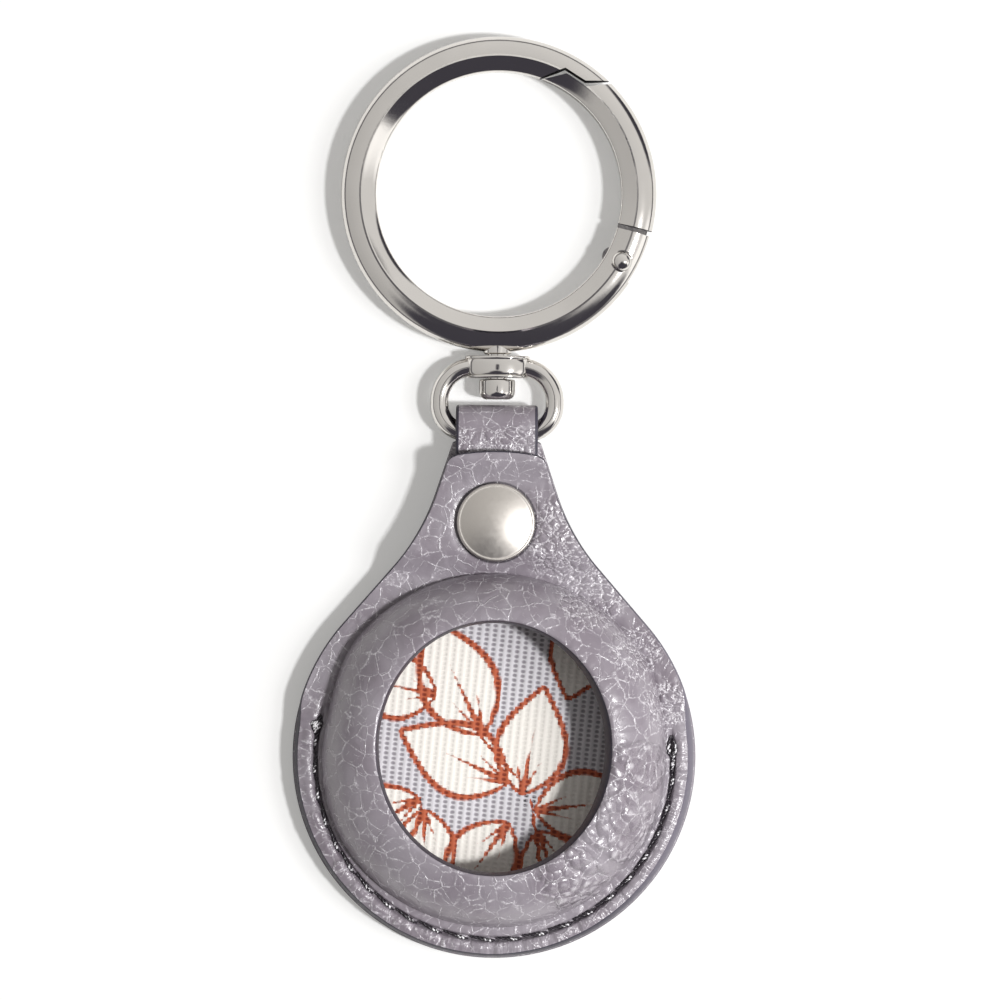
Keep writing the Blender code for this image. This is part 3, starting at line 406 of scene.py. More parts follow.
def leather_outline(neck_top, corner, arch, count):
    """Teardrop outline with its flared neck, anticlockwise from the bottom, evenly spaced."""
    start = Vector((math.cos(FLANK_ANGLE), math.sin(FLANK_ANGLE))) * BODY_RADIUS
    flank = Vector((-math.sin(FLANK_ANGLE), math.cos(FLANK_ANGLE)))
    half_top = NECK_HALF_WIDTH + (NECK_TOP - neck_top) * NECK_FLARE_SHARE
    tip = Vector((half_top, neck_top - arch))
    neck = Vector((-NECK_FLARE_SHARE, 1.0)).normalized()
    bend = start + flank * ((tip - start).cross(neck) / flank.cross(neck))
    turn = flank.angle(neck)
    setback = NECK_FILLET * math.tan(turn / 2)
    fillet = bend - flank * setback
    outward = Vector((flank.y, -flank.x))
    first = math.atan2(-outward.y, -outward.x)
    points = arc((0, 0), BODY_RADIUS, -math.pi / 2, FLANK_ANGLE, 120)
    points += [start.lerp(fillet, share / 12) for share in range(1, 12)]
    points += arc(fillet + outward * NECK_FILLET, NECK_FILLET, first, first - turn, 24)
    before, after = tip - neck * corner, tip - Vector((corner, -arch * corner / half_top))
    points += [before]
    for share in (0.2, 0.4, 0.6, 0.8):
        points.append(before.lerp(tip, share).lerp(tip.lerp(after, share), share))
    for share in range(10):
        x = after.x * (1 - share / 10)
        points.append(Vector((x, neck_top - arch * (x / half_top) ** 2)))
    points.append(Vector((0, neck_top)))
    left = [Vector((-point.x, point.y)) for point in reversed(points[1:-1])]
    return evenly(points + left, count)


def seam_reach(direction):
    """How far from the dome's centre a ray meets the seam."""
    offset = DOME_CENTRE - SEAM_CENTRE.y
    across = offset * direction.y
    return -across + math.sqrt(across * across + SEAM_RADIUS * SEAM_RADIUS - offset * offset)


def window_reach(direction):
    """How far from the dome's centre a ray meets the window's oval."""
    offset = DOME_CENTRE - WINDOW_CENTRE
    a = (direction.x / WINDOW_HALF_WIDTH) ** 2 + (direction.y / WINDOW_HALF_HEIGHT) ** 2
    b = offset * direction.y / WINDOW_HALF_HEIGHT**2
    c = (offset / WINDOW_HALF_HEIGHT) ** 2 - 1
    return (-b + math.sqrt(b * b - a * c)) / a


def neck_lift(y):
    """How far the front rises over the snap and the strap."""
    snap = SNAP_RISE * smooth_step(y, SNAP_PLACE - 5.65 * MM, SNAP_PLACE - 2.65 * MM)
    return snap + NECK_RISE * smooth_step(y, SNAP_PLACE + 4.05 * MM, NECK_TOP - 0.6 * MM)


def sewn_share(x, y, fade=5.0):
    """1 where the seam runs, and a fade to 0 that ends so many degrees past its ends."""
    angle = math.atan2(y - SEAM_CENTRE.y, x) % math.tau
    past = min(SEAM_START - angle, angle + math.tau - SEAM_END)
    return 1 - smooth_step(past, math.radians(1.0), math.radians(fade))


def stitch_count():
    """How many stitches the seam holds."""
    return round(SEAM_RADIUS * (SEAM_END - SEAM_START) / bpy.context.scene.keychain_thread.stitch)


def edge_share(x, y):
    """1 where the edges of the sewn stack are rounded and painted together, 0 along the flap."""
    angle = math.degrees(math.atan2(y, x)) % 360
    return smooth_step(angle, *EDGE_FADE_LEFT) if angle > 90 else 1 - smooth_step(angle, *EDGE_FADE_RIGHT)


def tack_places():
    """Middles of the two backtacks."""
    ends = ((SEAM_START + 0.01, SEAM_RADIUS + 0.3 * MM), (SEAM_END - 0.01, SEAM_RADIUS))
    return [SEAM_CENTRE + Vector((math.cos(angle), math.sin(angle))) * reach for angle, reach in ends]


def seam_relief(x, y):
    """Groove of the seam, the dents of its needle holes and the puckers beside it, in metres."""
    sewn = sewn_share(x, y, 7.0)
    if sewn <= 0:
        return 0.0
    from_centre = Vector((x, y)) - SEAM_CENTRE
    past = from_centre.length - SEAM_RADIUS
    along = (math.atan2(from_centre.y, x) % math.tau) * SEAM_RADIUS
    pitch = SEAM_RADIUS * (SEAM_END - SEAM_START) / stitch_count()
    to_hole = abs((along - SEAM_START * SEAM_RADIUS + pitch / 2) % pitch - pitch / 2)
    groove = -0.45 * MM * math.exp(-((past / (0.24 * MM)) ** 4))
    hole = -0.30 * MM * bump(math.hypot(past, to_hole), 0.3 * MM)
    pillow = (0.28 - 0.13 * bump(to_hole, 0.5 * MM)) * MM * bump(past - 0.85 * MM, 0.55 * MM)
    tack = min((Vector((x, y)) - place).length for place in tack_places())
    hollow = -0.2 * MM * bump(tack, 0.8 * MM)
    streak = noise.noise(Vector((along / (0.5 * MM), past / (2.5 * MM), 1.3)))
    streak += 0.6 * noise.noise(Vector((along / (0.26 * MM), past / (1.2 * MM), 4.1)))
    drawn = bpy.context.scene.keychain_leather.pucker * (0.6 + 0.6 * bump(to_hole, 0.6 * MM))
    puckers = drawn * streak * smooth_step(past, -1.3 * MM, 0.3 * MM)
    return sewn * (groove + hole + pillow + hollow + puckers)


def pebble_relief(x, y):
    """Low pebbles of the grain and the slow unevenness of hand worked leather, in metres."""
    size = 1.5 * MM
    place = Vector((x / size, y / size, 0.0))
    place += 0.35 * noise.noise_vector(place * 1.3)
    near = noise.voronoi(place)[0][0]
    pebble = 0.055 * MM * (1 - min(near / 0.6, 1.0) ** 2)
    return pebble + 0.06 * MM * noise.noise(Vector((x / (5 * MM), y / (5 * MM), 0.7)))


def wall_stations(window, way):
    """Cut edge round the window, from its underside up to the dome, and the place where the dome starts.

    Its lower end leans in under the window, most of all on the right.
    """
    lean = (0.3 + 0.45 * max(way.x, 0) ** 2) * MM
    drops = ((1.0, FRONT_THICKNESS), (0.78, 0.85 * MM), (0.5, 0.48 * MM), (0.24, 0.2 * MM), (0.02, 0.04 * MM))
    return [(window - lean * part, DOME_TOP - drop) for part, drop in drops], window + 0.1 * MM


def border_stations(way, foot, shoulder, sewn):
    """Places from the dome's foot to the shoulder of the edge, crowded at the seam where there is one."""
    groove_end = seam_reach(way) + 0.5 * MM
    rest = BORDER_ROWS - GROOVE_ROWS
    places = []
    for step in range(BORDER_ROWS + 1):
        even = foot + (shoulder - foot) * step / BORDER_ROWS
        if step < GROOVE_ROWS:
            crowded = foot + (groove_end - foot) * step / GROOVE_ROWS
        else:
            crowded = groove_end + (shoulder - groove_end) * (step - GROOVE_ROWS) / rest
        places.append(even + (crowded - even) * sewn)
    return places


def dome_curve(steps, start, foot, base):
    """Rounded shoulder of the dome, from the rim of the window down to its foot."""
    curve = []
    for step in range(steps):
        turn = math.pi / 2 * (step / steps) ** 0.9
        out = math.sin(turn) ** (2 / DOME_ROUNDNESS)
        up = max(math.cos(turn), 0) ** (2 / DOME_ROUNDNESS)
        curve.append((start + (foot - start) * out, base + DOME_RISE * up))
    return curve


def front_section(point):
    """Closed section of the front leather on the ray through one point of its outline."""
    centre = Vector((0, DOME_CENTRE))
    edge = (point - centre).length
    way = (point - centre).normalized()
    window = window_reach(way)
    sewn, stacked = sewn_share(point.x, point.y), edge_share(point.x, point.y)
    foot = DOME_RADIUS
    drawn_in = sewn_share(point.x, point.y, 30.0)
    foot += (min(foot, seam_reach(way) - 0.6 * MM) - foot) * drawn_in
    upper, rim = wall_stations(window, way)
    upper += dome_curve(DOME_ROWS, rim, foot, BORDER_TOP)
    full_band = bpy.context.scene.keychain_leather.band * (0.68 + 0.32 * max(way.x, 0))
    band = 0.15 * MM + (full_band - 0.15 * MM) * stacked
    shoulder = edge - band
    last = edge - 0.2 * MM * stacked
    upper += [(place, BORDER_TOP) for place in border_stations(way, foot, shoulder, sewn)]
    drop = (0.3 + 1.0 * stacked) * MM
    for step in range(1, 6):
        turn = math.pi / 2 * step / 5
        out, down = math.sin(turn) ** 1.35, 1 - max(math.cos(turn), 0) ** 1.35
        upper.append((shoulder + (last - shoulder) * out, BORDER_TOP - drop * down))
    lip = FRONT_UNDER + 0.1 * MM + (BACK_TOP - FRONT_UNDER) * stacked
    upper += [(last - 0.03 * MM, lip), (last - 0.28 * MM, lip - 0.02 * MM)]
    inner = foot - FRONT_THICKNESS
    lower = [(last - 0.34 * MM, FRONT_UNDER)]
    for step in range(1, UNDER_ROWS):
        lower.append((last - 0.4 * MM + (inner - last + 0.4 * MM) * step / UNDER_ROWS, FRONT_UNDER))
    lower += [(inner, FRONT_UNDER)] + list(reversed(dome_curve(16, upper[0][0], inner, FRONT_UNDER)))[:-1]
    section = []
    for index, (reach, height) in enumerate(upper + lower):
        place = centre + way * reach
        if RIM_ROWS <= index < len(upper) - 2:
            past_cap = (place - Vector((0, SNAP_PLACE))).length - CAP_RADIUS
            height += seam_relief(place.x, place.y)
            height += pebble_relief(place.x, place.y) * smooth_step(edge - reach, 0.1 * MM, 0.8 * MM)
            height -= 0.07 * MM * bump(reach - foot, 0.2 * MM) * (1 - sewn)
            height -= 0.16 * MM * bump(past_cap - 0.1 * MM, 0.4 * MM)
        section.append((place.x, place.y, height + neck_lift(place.y)))
    return section + section[:1]


class KEYCHAIN_OT_front_leather(bpy.types.Operator):
    """Moulded front leather: one piece, from the window's edge to the border, sewn below and free above"""

    bl_idname = "keychain.front_leather"
    bl_label = "Front Leather"

    def execute(self, context):
        noise.seed_set(PEBBLE_SEED)
        outline = leather_outline(NECK_TOP, NECK_CORNER, NECK_ARCH, FRONT_POINTS)
        rows = [front_section(point) for point in outline]
        flat_end = RIM_ROWS + DOME_ROWS + BORDER_ROWS

        def finish(row, column):
            """Paint on the cut edges, grain above and flesh side below."""
            if column < RIM_ROWS - 1 or flat_end <= column < flat_end + EDGE_ROWS:
                return 1
            return 0 if column < flat_end else 2

        grain = pebbled_leather("pebbled_leather_front", 0.0, NECK_WRINKLES)
        materials = [grain, edge_paint(), leather_flesh()]
        piece = rolled("front_leather", rows + rows[:1], materials, finish)
        finished(piece, None, materials, ("front_panel", "front_flap"), 60.0)
        start, end = (0, FOLD_PLACE - FOLD_BEFORE, DOME_TOP), (0, FOLD_PLACE + FOLD_AFTER, DOME_TOP)
        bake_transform(piece)
        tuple(start)
        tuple(end)
        return {"FINISHED"}


def back_section(point):
    """Half section of the back leather, from the middle of its back face round the edge to its inner face."""
    centre = Vector((0, DOME_CENTRE))
    edge = (point - centre).length
    way = (point - centre).normalized()
    seam = seam_reach(way)
    sewn = sewn_share(point.x, point.y)
    top = BACK_TOP
    section = [(0, 0), (0.3 * edge, 0), (0.6 * edge, 0), (0.8 * seam, 0)]
    for step in range(-5, 6):
        reach = seam + 0.12 * MM * step
        section.append((reach, 0.34 * MM * bump(step, 2.6) * sewn if abs(step) < 5 else 0))
    last = seam + 0.6 * MM
    section += [((last + edge) / 2, 0), (edge - 0.45 * MM, 0), (edge - 0.22 * MM, 0.05 * MM)]
    section += [(edge - 0.06 * MM, 0.25 * MM), (edge, 0.55 * MM), (edge - 0.02 * MM, top - 0.3 * MM)]
    section += [(edge - 0.1 * MM, top - 0.1 * MM), (edge - 0.3 * MM, top), (0.5 * edge, top), (0, top)]
    places = [centre + way * reach for reach, height in section]
    return [(place.x, place.y, height) for place, (reach, height) in zip(places, section)]


def strap_path():
    """Centre line of the strap in Y and Z: out of the neck, round the loop's bar and back to its tail."""
    half = STRAP_THICKNESS / 2
    wrap = STRAP_FACE / 2
    middle = STRAP_TOP - wrap
    path = [(NECK_TOP - 1.5 * MM, half), (NECK_TOP, half), (NECK_TOP + BACK_NECK_EXTRA + 0.8 * MM, half)]
    path += [tuple(point) for point in arc((middle, wrap), wrap - half, -math.pi / 2, math.pi / 2, 20)]
    top, tail = STRAP_FACE - half, 2.3 * MM - half
    for step in range(17):
        share = step / 16
        path.append((NECK_TOP - 3.0 * MM * share, top + (tail - top) * smooth_step(share, 0, 1)))
    path += [(TAIL_END + 1.5 * MM, tail), (TAIL_END, tail)]
    return [Vector(point) for point in path]


def strap_section():
    """Closed section of the strap, across and through, with soft corners."""
    corner = 0.3 * MM
    wide, half = STRAP_HALF_WIDTH - corner, STRAP_THICKNESS / 2 - corner
    points = []
    for quarter, (across, through) in enumerate(((1, 1), (-1, 1), (-1, -1), (1, -1))):
        start = quarter * math.pi / 2
        points += arc((across * wide, through * half), corner, start, start + math.pi / 2, 4)
        if quarter in (0, 2):
            flat = [(across * wide * (1 - step / 6), through * STRAP_THICKNESS / 2) for step in range(1, 12)]
            points += [Vector(place) for place in flat]
    return points


# Columns of the strap's section that are cut edge, and so painted
STRAP_EDGES = {*range(0, 4), *range(16, 25), *range(37, 42)}


def strap_rows():
    """Rows of the strap along its path, each a little wavy on its face, closed to a point at both ends."""
    path, section = strap_path(), strap_section()
    rows = []
    for index, place in enumerate(path):
        after, before = path[min(index + 1, len(path) - 1)], path[max(index - 1, 0)]
        along = (after - before).normalized()
        out = Vector((along.y, -along.x))
        row = []
        for across, through in section + section[:1]:
            wave = 0.03 * MM * noise.noise(Vector((across, place.x, place.y)) / (1.6 * MM))
            spot = place + out * (through + (wave if through > 0 else 0))
            row.append((across, spot.x, spot.y))
        rows.append(row)
    first, last = ([tuple(np.mean(np.array(row[:-1]), axis=0))] * len(row) for row in (rows[0], rows[-1]))
    return [first, *rows, last]


class KEYCHAIN_OT_back_leather(bpy.types.Operator):
    """Back leather with the strap that it runs out into, wrapped round the loop's bar"""

    bl_idname = "keychain.back_leather"
    bl_label = "Back Leather"

    def execute(self, context):
        neck_top = NECK_TOP + BACK_NECK_EXTRA
        outline = leather_outline(neck_top, 0.27 * MM, 0.0, BACK_POINTS)
        rows = [back_section(point) for point in outline]
        materials = [pebbled_leather("pebbled_leather_back", 0.9, STRAP_WRINKLES), edge_paint()]
        plate = rolled("back_leather", rows + rows[:1], materials, lambda row, column: int(17 <= column < 21))
        strap = rolled("strap", strap_rows(), materials, lambda row, column: int(column in STRAP_EDGES))
        combine(plate, strap, "UNION")
        recess = turned("recess", disc_profile(3.65 * MM, -0.5 * MM, 0.6 * MM), 64, snap_stand())
        combine(plate, recess, "DIFFERENCE")
        finished(plate, "case", materials, ("back_panel",), 40.0)
        return {"FINISHED"}


# Lining


# How far the ribs lean, across over along
RIB_LEAN = 0.095


def lining_reach(x, inset):
    """Lowest and highest place of the lining at a distance from the middle line."""
    radius = BODY_RADIUS - inset
    round_reach = math.sqrt(max(radius * radius - x * x, 0.0))
    corner = Vector((math.cos(FLANK_ANGLE), math.sin(FLANK_ANGLE))) * radius
    if abs(x) > corner.x:
        return -round_reach, round_reach
    flank = corner.y + (corner.x - abs(x)) / math.tan(FLANK_ANGLE)
    return -round_reach, min(flank, LINING_TOP)


class KEYCHAIN_OT_lining(bpy.types.Operator):
    """Ribbed, printed lining, glued to the back leather inside the pocket"""

    bl_idname = "keychain.lining"
    bl_label = "Lining"

    def execute(self, context):
        settings = context.scene.keychain_lining
        inset = 0.4 * MM
        radius = BODY_RADIUS - inset
        columns, lines = 420, 44
        rows = []
        for line in range(lines + 1):
            row = []
            for column in range(columns + 1):
                x = -radius + 2 * radius * column / columns
                bottom, top = lining_reach(x, inset)
                y = bottom + (top - bottom) * line / lines
                rib = abs(math.sin(math.pi * (x - RIB_LEAN * y) / settings.rib))
                row.append((x, y, LINING_HIGH - 0.05 * MM * rib))
            rows.append(row)
        piece = rolled("lining", rows)
        if sum(face.normal.z for face in piece.data.polygons) < 0:
            piece.data.flip_normals()
        area = sum(face.area for face in piece.data.polygons)
        solidify = piece.modifiers.new("thickness", "SOLIDIFY")
        solidify.thickness = 0.2 * MM
        solidify.offset = -1
        bpy.ops.object.modifier_apply(modifier=solidify.name)
        finished(piece, "case", [ribbed_lining()], ("back_lining",), 75.0)
        width, height = 2 * radius, LINING_TOP + radius
        area = min(area, width * height)
        return {"FINISHED"}


# Seam


def stitch_shape(name, run, dip, bow=0.0, peak=0.0):
    """One stitch along X: two plies, twisted, that rise from one needle hole and sink into the next."""
    diameter = bpy.context.scene.keychain_thread.diameter
    ply = diameter * 0.29
    offset = diameter * 0.2
    steps = 24
    ring = [math.tau * place / 8 for place in range(8)]
    ring += ring[:1]
    plies = []
    for side in (0, 1):
        rows = []
        for step in range(steps + 1):
            share = step / steps * 2 - 1
            turn = math.pi * side + share * math.pi * 2.4
            sunk = ((peak - share) / (1 + peak)) ** 1.5 if share < peak else ((share - peak) / (1 - peak)) ** 2
            middle = Vector((share * run / 2, bow * (1 - share * share), -dip * sunk))
            middle += Vector((0, math.cos(turn), math.sin(turn))) * offset
            rows.append([middle + Vector((0, math.cos(a), math.sin(a))) * ply for a in ring])
        rows.insert(0, [sum(rows[0][:-1], Vector()) / 8] * 9)
        rows.append([sum(rows[-1][:-1], Vector()) / 8] * 9)
        plies.append(rolled(name, rows))
    return join_pieces(name, plies)


def join_pieces(name, pieces):
    """One object of several."""
    deselect_all()
    for piece in pieces:
        piece.select_set(True)
    bpy.context.view_layer.objects.active = pieces[0]
    bpy.ops.object.join()
    bpy.ops.object.transform_apply(location=True, rotation=True, scale=True)
    joined = bpy.context.object
    joined.name = joined.data.name = name
    return joined


def placed_copy(piece, matrix):
    """Copy of a piece with its own mesh, at a place."""
    copy = piece.copy()
    copy.data = piece.data.copy()
    copy.matrix_world = matrix
    bpy.context.collection.objects.link(copy)
    return copy


def on_seam(angle, height, slant, outward=0.0):
    """Matrix that lays a stitch along the seam."""
    place = SEAM_CENTRE + Vector((math.cos(angle), math.sin(angle))) * (SEAM_RADIUS + outward)
    place = Matrix.Translation((place.x, place.y, height))
    return place @ Matrix.Rotation(angle + math.pi / 2 + slant, 4, "Z")


# Strands of the left backtack: slant in degrees, and place across the seam and height in millimetres
TACK_STRANDS = (
    (-15.0, -0.1, -0.02),
    (15.0, 0.6, 0.0),
    (-6.0, 0.1, 0.05),
    (8.0, 0.42, 0.03),
    (0.0, 0.3, 0.09),
)


def backtacks(height):
    """Extra stitches at the seam's ends: a knot of strands on the left, an open oval on the right."""
    start, end = (math.atan2(place.y - SEAM_CENTRE.y, place.x) for place in tack_places())
    strand = stitch_shape("tack_strand", 2.5 * MM, 0.5 * MM)
    bowed = stitch_shape("tack_bow", 2.7 * MM, 0.35 * MM, 0.34 * MM)
    copies = []
    for slant, outward, lift in TACK_STRANDS:
        place = on_seam(start, height + lift * MM, math.radians(slant), outward * MM)
        copies.append(placed_copy(strand, place))
    for turn in (0.0, math.pi):
        copies.append(placed_copy(bowed, on_seam(end, height + 0.02 * MM, turn)))
    copies.append(placed_copy(strand, on_seam(end - 0.09, height + 0.08 * MM, math.radians(-6.0))))
    bpy.data.objects.remove(strand)
    bpy.data.objects.remove(bowed)
    return copies


class KEYCHAIN_OT_seam(bpy.types.Operator):
    """Lock stitch round the pocket, with a backtack at each end"""

    bl_idname = "keychain.seam"
    bl_label = "Seam"

    def execute(self, context):
        thread = bonded_thread()
        count = stitch_count()
        pitch = (SEAM_END - SEAM_START) / count
        run = pitch * SEAM_RADIUS
        angles = [SEAM_START + pitch * (index + 0.5) for index in range(count)]
        height = BORDER_TOP + 0.02 * MM
        face = stitch_shape("stitch", run * 0.96, 0.5 * MM, 0.0, 0.5)
        copies = [placed_copy(face, on_seam(angle, height, STITCH_SLANT)) for angle in angles]
        bpy.data.objects.remove(face)
        piece = join_pieces("face_stitches", copies + backtacks(height))
        finished(piece, "case", [thread], ("needle_thread",), 80.0)
        under = stitch_shape("under_stitch", run * 0.95, 0.12 * MM)
        over, pressed = Matrix.Rotation(math.pi, 4, "X"), Matrix.Diagonal((1.0, 0.66, 0.62, 1.0))
        places = [on_seam(angle, UNDER_STITCH_HEIGHT, 0.0) @ over @ pressed for angle in angles]
        copies = [placed_copy(under, place) for place in places]
        bpy.data.objects.remove(under)
        piece = join_pieces("back_stitches", copies)
        finished(piece, "case", [thread], ("bobbin_thread",), 80.0)
        return {"FINISHED"}


# Snap


def snap_stand():
    """Matrix at the snap's place."""
    return Matrix.Translation((0, SNAP_PLACE, 0))


def disc_profile(radius, bottom, top):
    """Profile of a plain disc, for cutting."""
    return [(0, bottom), (radius, bottom), (radius, top), (0, top)]


def cap_profile():
    """Cap: rolled rim and low dome."""
    rim = 0.24 * MM
    profile = [(0, CAP_SEAT), (CAP_RADIUS - 0.25 * MM, CAP_SEAT)]
    profile += arc((CAP_RADIUS - rim, CAP_SEAT + rim), rim, -math.pi / 3, math.pi * 0.6, 12)
    edge, shoulder = profile[-1]
    edge, shoulder = edge - 0.06 * MM, shoulder + 0.01 * MM
    for step in range(33):
        share = 1 - step / 32
        profile.append((edge * share, shoulder + (CAP_TOP - shoulder) * (1 - share * share)))
    return profile


def socket_profile():
    """Socket: a ring with a flange that lies on the leather."""
    top, bottom = high("snap_socket", Z), low("snap_socket", Z)
    wall, bore = high("snap_socket", X), 2.0 * MM
    profile = [(bore, top - 0.25 * MM), (0.9 * MM, top - 0.25 * MM), (0.9 * MM, top), (wall, top)]
    profile += arc((wall - 0.25 * MM, bottom + 0.25 * MM), 0.25 * MM, 0, -math.pi / 2, 6)
    profile += arc((bore + 0.15 * MM, bottom + 0.15 * MM), 0.15 * MM, -math.pi / 2, -math.pi, 5)
    return profile + profile[:1]


def stud_profile():
    """Stud: a flange, a neck and a round head."""
    base, head, flange = low("snap_stud", Z), high("snap_stud", Z), high("snap_stud", X)
    profile = [(0, base), (flange, base), (flange, base + 0.15 * MM), (flange - 0.1 * MM, base + 0.25 * MM)]
    profile += [(1.35 * MM, base + 0.3 * MM), (1.2 * MM, base + 0.42 * MM), (1.22 * MM, base + 0.55 * MM)]
    profile += arc((1.2 * MM, head - 0.3 * MM), 0.3 * MM, -math.pi / 6, math.pi / 2, 8)
    return profile + [(0, head)]


def post_profile():
    """Post: a disc with a pressed ring under the back, and its shank."""
    base, disc = low("snap_post", Z), high("snap_post", X)
    profile = [(0, base), (1.1 * MM, base), (1.25 * MM, base + 0.07 * MM), (1.5 * MM, base + 0.07 * MM)]
    profile += [(1.65 * MM, base)]
    profile += arc((disc - 0.3 * MM, base + 0.3 * MM), 0.3 * MM, -math.pi / 2, 0, 6)
    profile += [(disc, base + 0.45 * MM), (0.9 * MM, base + 0.45 * MM)]
    return profile + [(0.9 * MM, base + 1.3 * MM), (0, base + 1.3 * MM)]


class KEYCHAIN_OT_snap(bpy.types.Operator):
    """Press stud: domed cap and socket on the flap, stud and post on the back"""

    bl_idname = "keychain.snap"
    bl_label = "Snap"

    def execute(self, context):
        cap = turned("snap_face", cap_profile(), 128, snap_stand())
        finished(cap, "flap", [satin_nickel()], ("snap_cap",), 40.0)
        parts = (
            ("snap_ring", socket_profile(), "flap", "snap_socket"),
            ("snap_ball", stud_profile(), "case", "snap_stud"),
            ("snap_disc", post_profile(), "case", "snap_post"),
        )
        for name, profile, body, node in parts:
            piece = turned(name, profile, 96, snap_stand())
            finished(piece, body, [polished_nickel()], (node,), 40.0)
        return {"FINISHED"}


# Swivel


def along_y(x, y, z):
    """Matrix that stands a body turned about Z along Y instead, at a place."""
    return Matrix.Translation((x, y, z)) @ Matrix.Rotation(-math.pi / 2, 4, "X")


def loop_line():
    """Closed centre line of the loop's wire."""
    top = LOOP_HIGH - COLLAR_HEIGHT / 2
    bar = LOOP_LOW + WIRE_RADIUS
    lower_corner, upper_corner = 2.8 * MM, 3.4 * MM
    upper = Vector((LOOP_HALF_WIDTH - upper_corner, top - upper_corner))
    lower = Vector((LOOP_HALF_WIDTH - lower_corner, bar + lower_corner))
    right = [Vector((lower.x * share / 6, bar)) for share in range(6)]
    right += arc(lower, lower_corner, -math.pi / 2, 0, 20) + arc(upper, upper_corner, 0, math.pi / 2, 24)
    right += [Vector((upper.x * (1 - share / 6), top)) for share in range(1, 7)]
    left = [Vector((-point.x, point.y)) for point in reversed(right[1:-1])]
    return right + left


class KEYCHAIN_OT_loop(bpy.types.Operator):
    """Cast loop with its collar, bored for the swivel post"""

    bl_idname = "keychain.loop"
    bl_label = "Loop"

    def execute(self, context):
        line = loop_line()
        rows = []
        for index, place in enumerate(line):
            along = (line[(index + 1) % len(line)] - line[index - 1]).normalized()
            out = Vector((along.y, -along.x))
            turns = [math.tau * (step % 28) / 28 for step in range(29)]
            flat = [place + out * math.cos(turn) * WIRE_RADIUS for turn in turns]
            rows.append([(p.x, p.y, MID_DEPTH + math.sin(turn) * WIRE_RADIUS) for p, turn in zip(flat, turns)])
        loop = rolled("loop", rows + rows[:1])
        wide, tall = COLLAR_HALF_WIDTH, COLLAR_HEIGHT
        collar = [(0, 0), (wide - 0.45 * MM, 0)]
        collar += arc((wide - 0.36 * MM, 0.16 * MM), 0.16 * MM, -math.pi / 2, math.pi / 2.4, 8)
        collar += [(wide - 0.2 * MM, 0.36 * MM), (wide - 0.17 * MM, 0.41 * MM)]
        for step in range(1, 12):
            share = step / 6 - 1
            bulge = 0.08 * MM * (1 - abs(share) ** 3.5)
            collar.append((wide - 0.17 * MM + bulge, 1.1 * MM + share * 0.67 * MM))
        collar += [(wide - 0.17 * MM, tall - 0.39 * MM), (wide - 0.2 * MM, tall - 0.34 * MM)]
        collar += arc((wide - 0.16 * MM, tall - 0.16 * MM), 0.16 * MM, -math.pi / 2.4, math.pi / 2, 8)
        collar += [(0, tall)]
        flatten = Matrix.Diagonal((1, 1, COLLAR_HALF_DEPTH / COLLAR_HALF_WIDTH, 1))
        stand = Matrix.Translation((0, 0, MID_DEPTH)) @ flatten @ along_y(0, LOOP_HIGH - COLLAR_HEIGHT, 0)
        combine(loop, turned("collar", collar, 128, stand), "UNION")
        hole = disc_profile(1.1 * MM, -MM, COLLAR_HEIGHT + MM)
        combine(loop, turned("bore", hole, 48, along_y(0, LOOP_HIGH - COLLAR_HEIGHT, MID_DEPTH)), "DIFFERENCE")
        finished(loop, "loop", [polished_nickel()], ("swivel_loop",), 38.0)
        return {"FINISHED"}


class KEYCHAIN_OT_swivel_post(bpy.types.Operator):
    """Button and shank of the swivel"""

    bl_idname = "keychain.swivel_post"
    bl_label = "Swivel Post"

    def execute(self, context):
        radius, tall, shank = BUTTON_RADIUS, 2.0 * MM, 0.95 * MM
        round_low, round_high = 0.75 * MM, 0.22 * MM
        profile = [(0, 0)]
        profile += arc((radius - round_low, round_low), round_low, -math.pi / 2, 0, 12)
        profile += arc((radius - round_high, tall - round_high), round_high, 0, math.pi / 2, 6)
        profile += [(shank + 0.05 * MM, tall), (shank, tall + 0.05 * MM)]
        profile += [(shank, SHANK_TOP - BUTTON_LOW - 0.1 * MM), (0, SHANK_TOP - BUTTON_LOW - 0.1 * MM)]
        piece = turned("swivel_button", profile, 72, along_y(0, BUTTON_LOW, MID_DEPTH))
        finished(piece, "ring", [polished_nickel()], ("swivel_post",), 40.0)
        return {"FINISHED"}


# Key ring


# Corners of the cut at the gate's nose, from the inside out: shares of the ring's width, and angles
NOSE_SHARES = (0.04, 0.557, 0.557, 0.93)
NOSE_ANGLES = (math.radians(70.3), math.radians(62.7), math.radians(53.0), math.radians(47.2))
NOSE_GAP = 0.42 * MM
SPLIT_ANGLE = math.radians(-15.3)
SPLIT_GAP = 0.5 * MM
PIN_PLACE_RADIUS = (RING_OUTER + RING_INNER) / 2
CROWN_START = math.radians(14.0)


def on_ring(radius, angle):
    """Point of the key ring's plane, from its centre."""
    return Vector((radius * math.cos(angle), RING_CENTRE + radius * math.sin(angle)))


